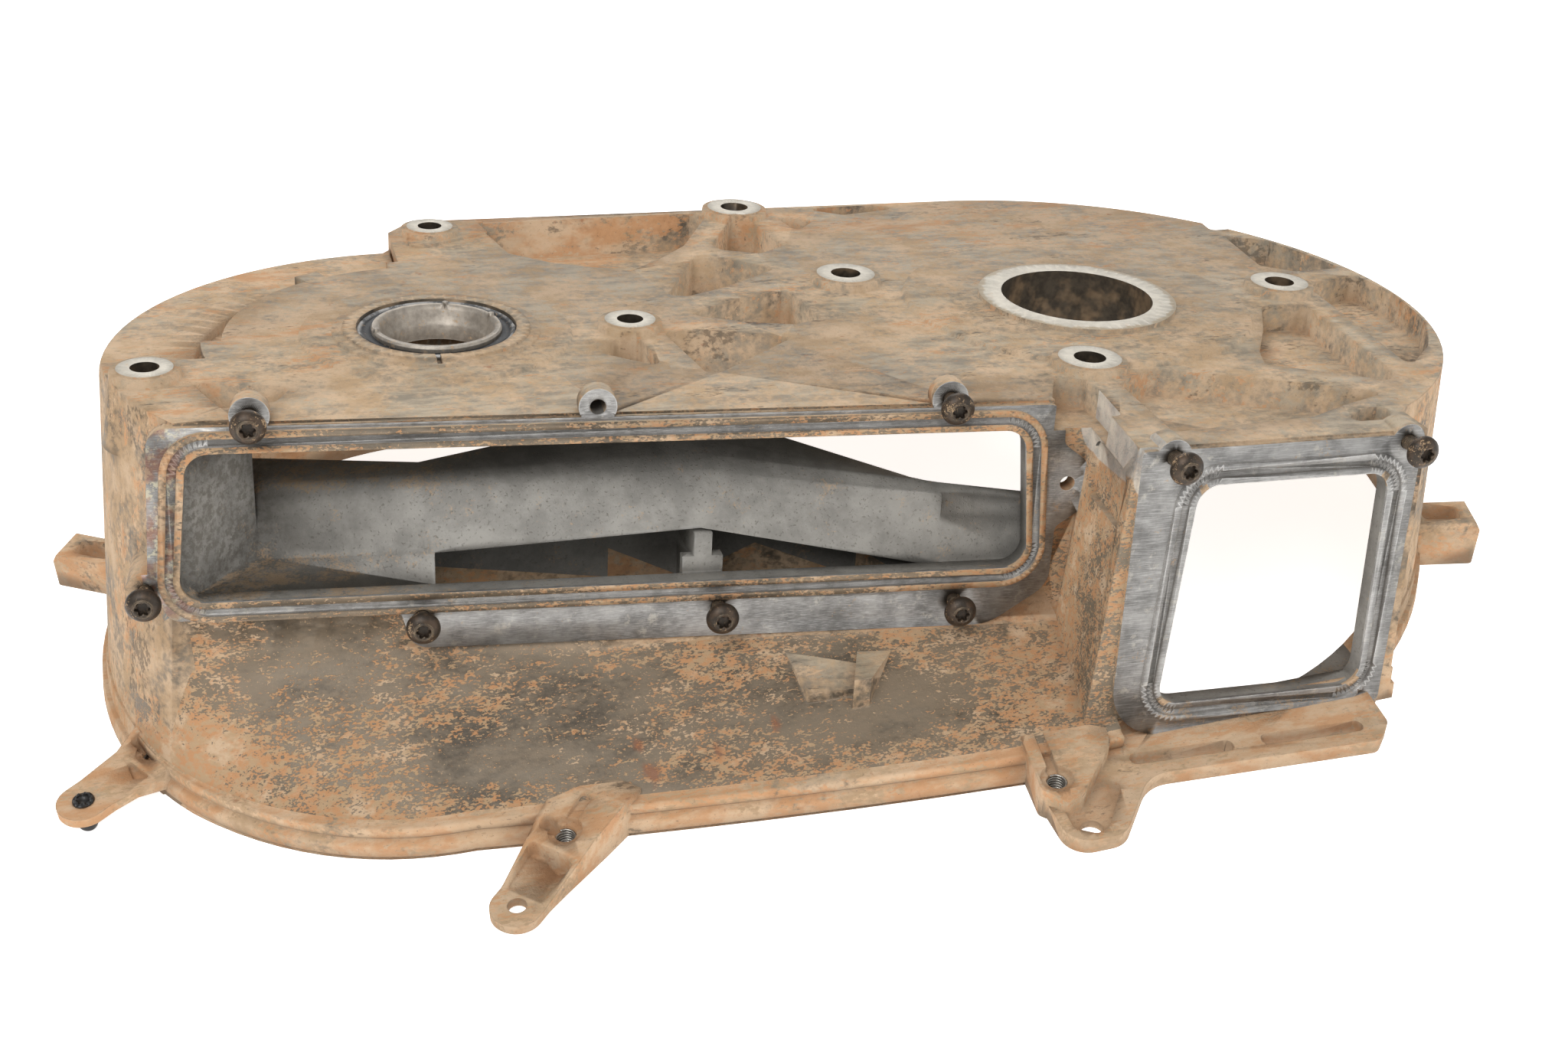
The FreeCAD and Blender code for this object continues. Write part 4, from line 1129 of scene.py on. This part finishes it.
def clip_grid(points):
    """Broken push clip: a wavy two-lobed skirt, a neck in the hole and a jagged hollow stub.

    Radius is the profile's times 1 + a cos 2t + b cos 3t, largest at the skirt; the skirt's
    rim and the stub's rim rise and fall with t.
    """
    low, high = points.min(0), points.max(0)
    middle, tall = (low + high) / 2, (high[2] - low[2]) / MM
    rows = np.array([(0.0, 2.6), (2.6, 2.2), (4.4, 1.0), (4.9, 0.35), (5.1, 0.5), (5.1, 1.6),
                     (4.9, 3.0), (4.3, 4.6), (3.7, 6.2), (3.4, 7.4), (3.45, 8.2), (3.45, 11.6),
                     (4.1, 12.0), (4.15, 12.6), (3.8, 13.4), (3.3, tall - 0.1), (2.7, tall - 0.3),
                     (2.5, 12.4), (1.5, 11.4), (0.0, 11.2)])
    columns = 60
    turn = np.linspace(0.0, 2 * np.pi, columns, endpoint=False)
    flare = np.clip(1 - rows[:, 1:] / 7.0, 0, 1)
    reach = 1 - flare * (0.11 * (1 - np.cos(2 * turn + 0.6)) + 0.03 * (1 + np.cos(3 * turn)))
    rag = np.clip((rows[:, 1:] - 12.3) / 1.5, 0, 1)
    jag = 0.5 + 0.3 * np.sin(5 * turn + 1) + 0.2 * np.sin(11 * turn)
    height = rows[:, 1:] - 1.5 * rag * jag
    height = height + 1.3 * flare ** 2 * (0.5 + 0.5 * np.cos(2 * turn + 2.2)) * (rows[:, 1:] < 3)
    reach = reach * (1 - 0.06 * rag * (1 + np.sin(9 * turn)))
    profile = np.concatenate([rows[:, :1], height], 1) * MM
    return revolved(profile, columns, (middle[0], middle[1], low[2]), (0, 0, 1), reach)


class COVER_OT_inserts(Operator):
    """Dress the thread inserts and the broken push clip"""
    bl_idname = "cover.inserts"
    bl_label = "Thread inserts and clip"

    def execute(self, context):
        c = colours()
        wire = small_part_material("insert wire", (0.50, 0.47, 0.42), (0.8, 0.78, 0.74),
                                   c.dust_tan, 0.3, 0.85, 0.2)
        plastic = small_part_material("clip plastic", c.plastic, (0.05, 0.05, 0.05), c.dust_tan,
                                      0.4, 0.0, 0.12)
        coils = joined("coils", [coil_grid(cloud) for cloud in solid_points("thread_inserts")],
                       math.radians(60))
        show("insert_coils", coils, [wire], "thread_inserts")
        clip = joined("clip", [clip_grid(solid_points("push_clip")[0])], math.radians(45))
        show("broken_push_clip", clip, [plastic], "push_clip")
        return {"FINISHED"}


# Photograph's camera: place on the bores' axes in millimetres, directions at rest, and its
# focal length in the photograph's pixels
PHOTO_WIDTH, PHOTO_FOCAL, SENSOR = 2048.0, 2614.0, 36.0
CAMERA_SPOT = (-87.747, -767.356, 283.425)
CAMERA_RIGHT = (0.965908, -0.258753, 0.008244)
CAMERA_UP = (0.148974, 0.581591, 0.799724)
CAMERA_BACK = (-0.211726, -0.771232, 0.600311)


class COVER_OT_stage(Operator):
    """Make the plain floor, the soft lights and the camera"""
    bl_idname = "cover.stage"
    bl_label = "Stage"

    def execute(self, context):
        scene = context.scene
        c = colours()
        span = sizes().floor_size / 2
        steps = np.linspace(-span, span, 13)
        gx, gy = np.meshgrid(steps, steps, indexing="ij")
        mesh = grid_mesh("floor", np.stack([gx, gy, np.full_like(gx, -0.0002)], -1), False)
        material, tree, shader = begin("floor")
        shader.inputs["Base Color"].default_value = (*c.floor, 1.0)
        shader.inputs["Roughness"].default_value = 0.9
        shader.inputs["Emission Color"].default_value = (1.0, 0.99, 0.97, 1.0)
        shader.inputs["Emission Strength"].default_value = 0.85
        mesh.materials.append(material)
        floor = bpy.data.objects.new("floor", mesh)
        scene.collection.objects.link(floor)

        for name, place, aim, size, power in (
                ("key", (-0.9, -1.2, 2.3), (0, 0, 0.05), 1.6, 44.0),
                ("fill", (1.9, -1.2, 1.2), (0, 0, 0.05), 1.6, 12.0),
                ("back", (0.4, 2.0, 1.8), (0, 0, 0.1), 1.8, 26.0)):
            lamp = bpy.data.lights.new(name, "AREA")
            lamp.size = size
            lamp.energy = power
            item = bpy.data.objects.new(name, lamp)
            item.location = place
            turn = (Vector(aim) - Vector(place)).to_track_quat("-Z", "Y")
            item.rotation_euler = turn.to_euler()
            scene.collection.objects.link(item)

        world = bpy.data.worlds.new("studio")
        world.use_nodes = True
        world.node_tree.nodes["Background"].inputs[0].default_value = (1.0, 1.0, 1.0, 1.0)
        world.node_tree.nodes["Background"].inputs[1].default_value = 0.38
        scene.world = world
        scene.view_settings.view_transform = "Standard"

        camera = bpy.data.objects.new("camera", bpy.data.cameras.new("camera"))
        camera.data.lens = SENSOR * PHOTO_FOCAL / PHOTO_WIDTH
        camera.data.sensor_width = SENSOR
        camera.data.clip_start = 0.05
        camera.data.clip_end = 30.0
        matrix = np.eye(4)
        for column, values in enumerate((CAMERA_RIGHT, CAMERA_UP, CAMERA_BACK,
                                         to_rest(CAMERA_SPOT))):
            matrix[:3, column] = values
        camera.matrix_world = Matrix(matrix.tolist())
        scene.collection.objects.link(camera)
        scene.camera = camera
        return {"FINISHED"}


class COVER_PT_panel(Panel):
    bl_label = "Clutch cover"
    bl_idname = "COVER_PT_panel"
    bl_space_type = "VIEW_3D"
    bl_region_type = "UI"
    bl_category = "Clutch cover"

    def draw(self, context):
        column = self.layout.column()
        for maker in PIECES:
            column.operator(maker.bl_idname)
        for group in (context.scene.cover_sizes, context.scene.cover_colours):
            for key in group.__annotations__:
                column.prop(group, key)


PIECES = (COVER_OT_stage, COVER_OT_casting, COVER_OT_seal, COVER_OT_screws, COVER_OT_inserts)
CLASSES = (CoverSizes, CoverColours, *PIECES, COVER_PT_panel)


def register():
    for item in CLASSES:
        bpy.utils.register_class(item)
    bpy.types.Scene.cover_sizes = PointerProperty(type=CoverSizes)
    bpy.types.Scene.cover_colours = PointerProperty(type=CoverColours)


def unregister():
    del bpy.types.Scene.cover_colours
    del bpy.types.Scene.cover_sizes
    for item in reversed(CLASSES):
        bpy.utils.unregister_class(item)


def main():
    register()
    bpy.ops.cover.stage()
    bpy.ops.cover.casting()
    bpy.ops.cover.seal()
    bpy.ops.cover.screws()
    bpy.ops.cover.inserts()
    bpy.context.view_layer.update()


if __name__ == "__main__":
    main()
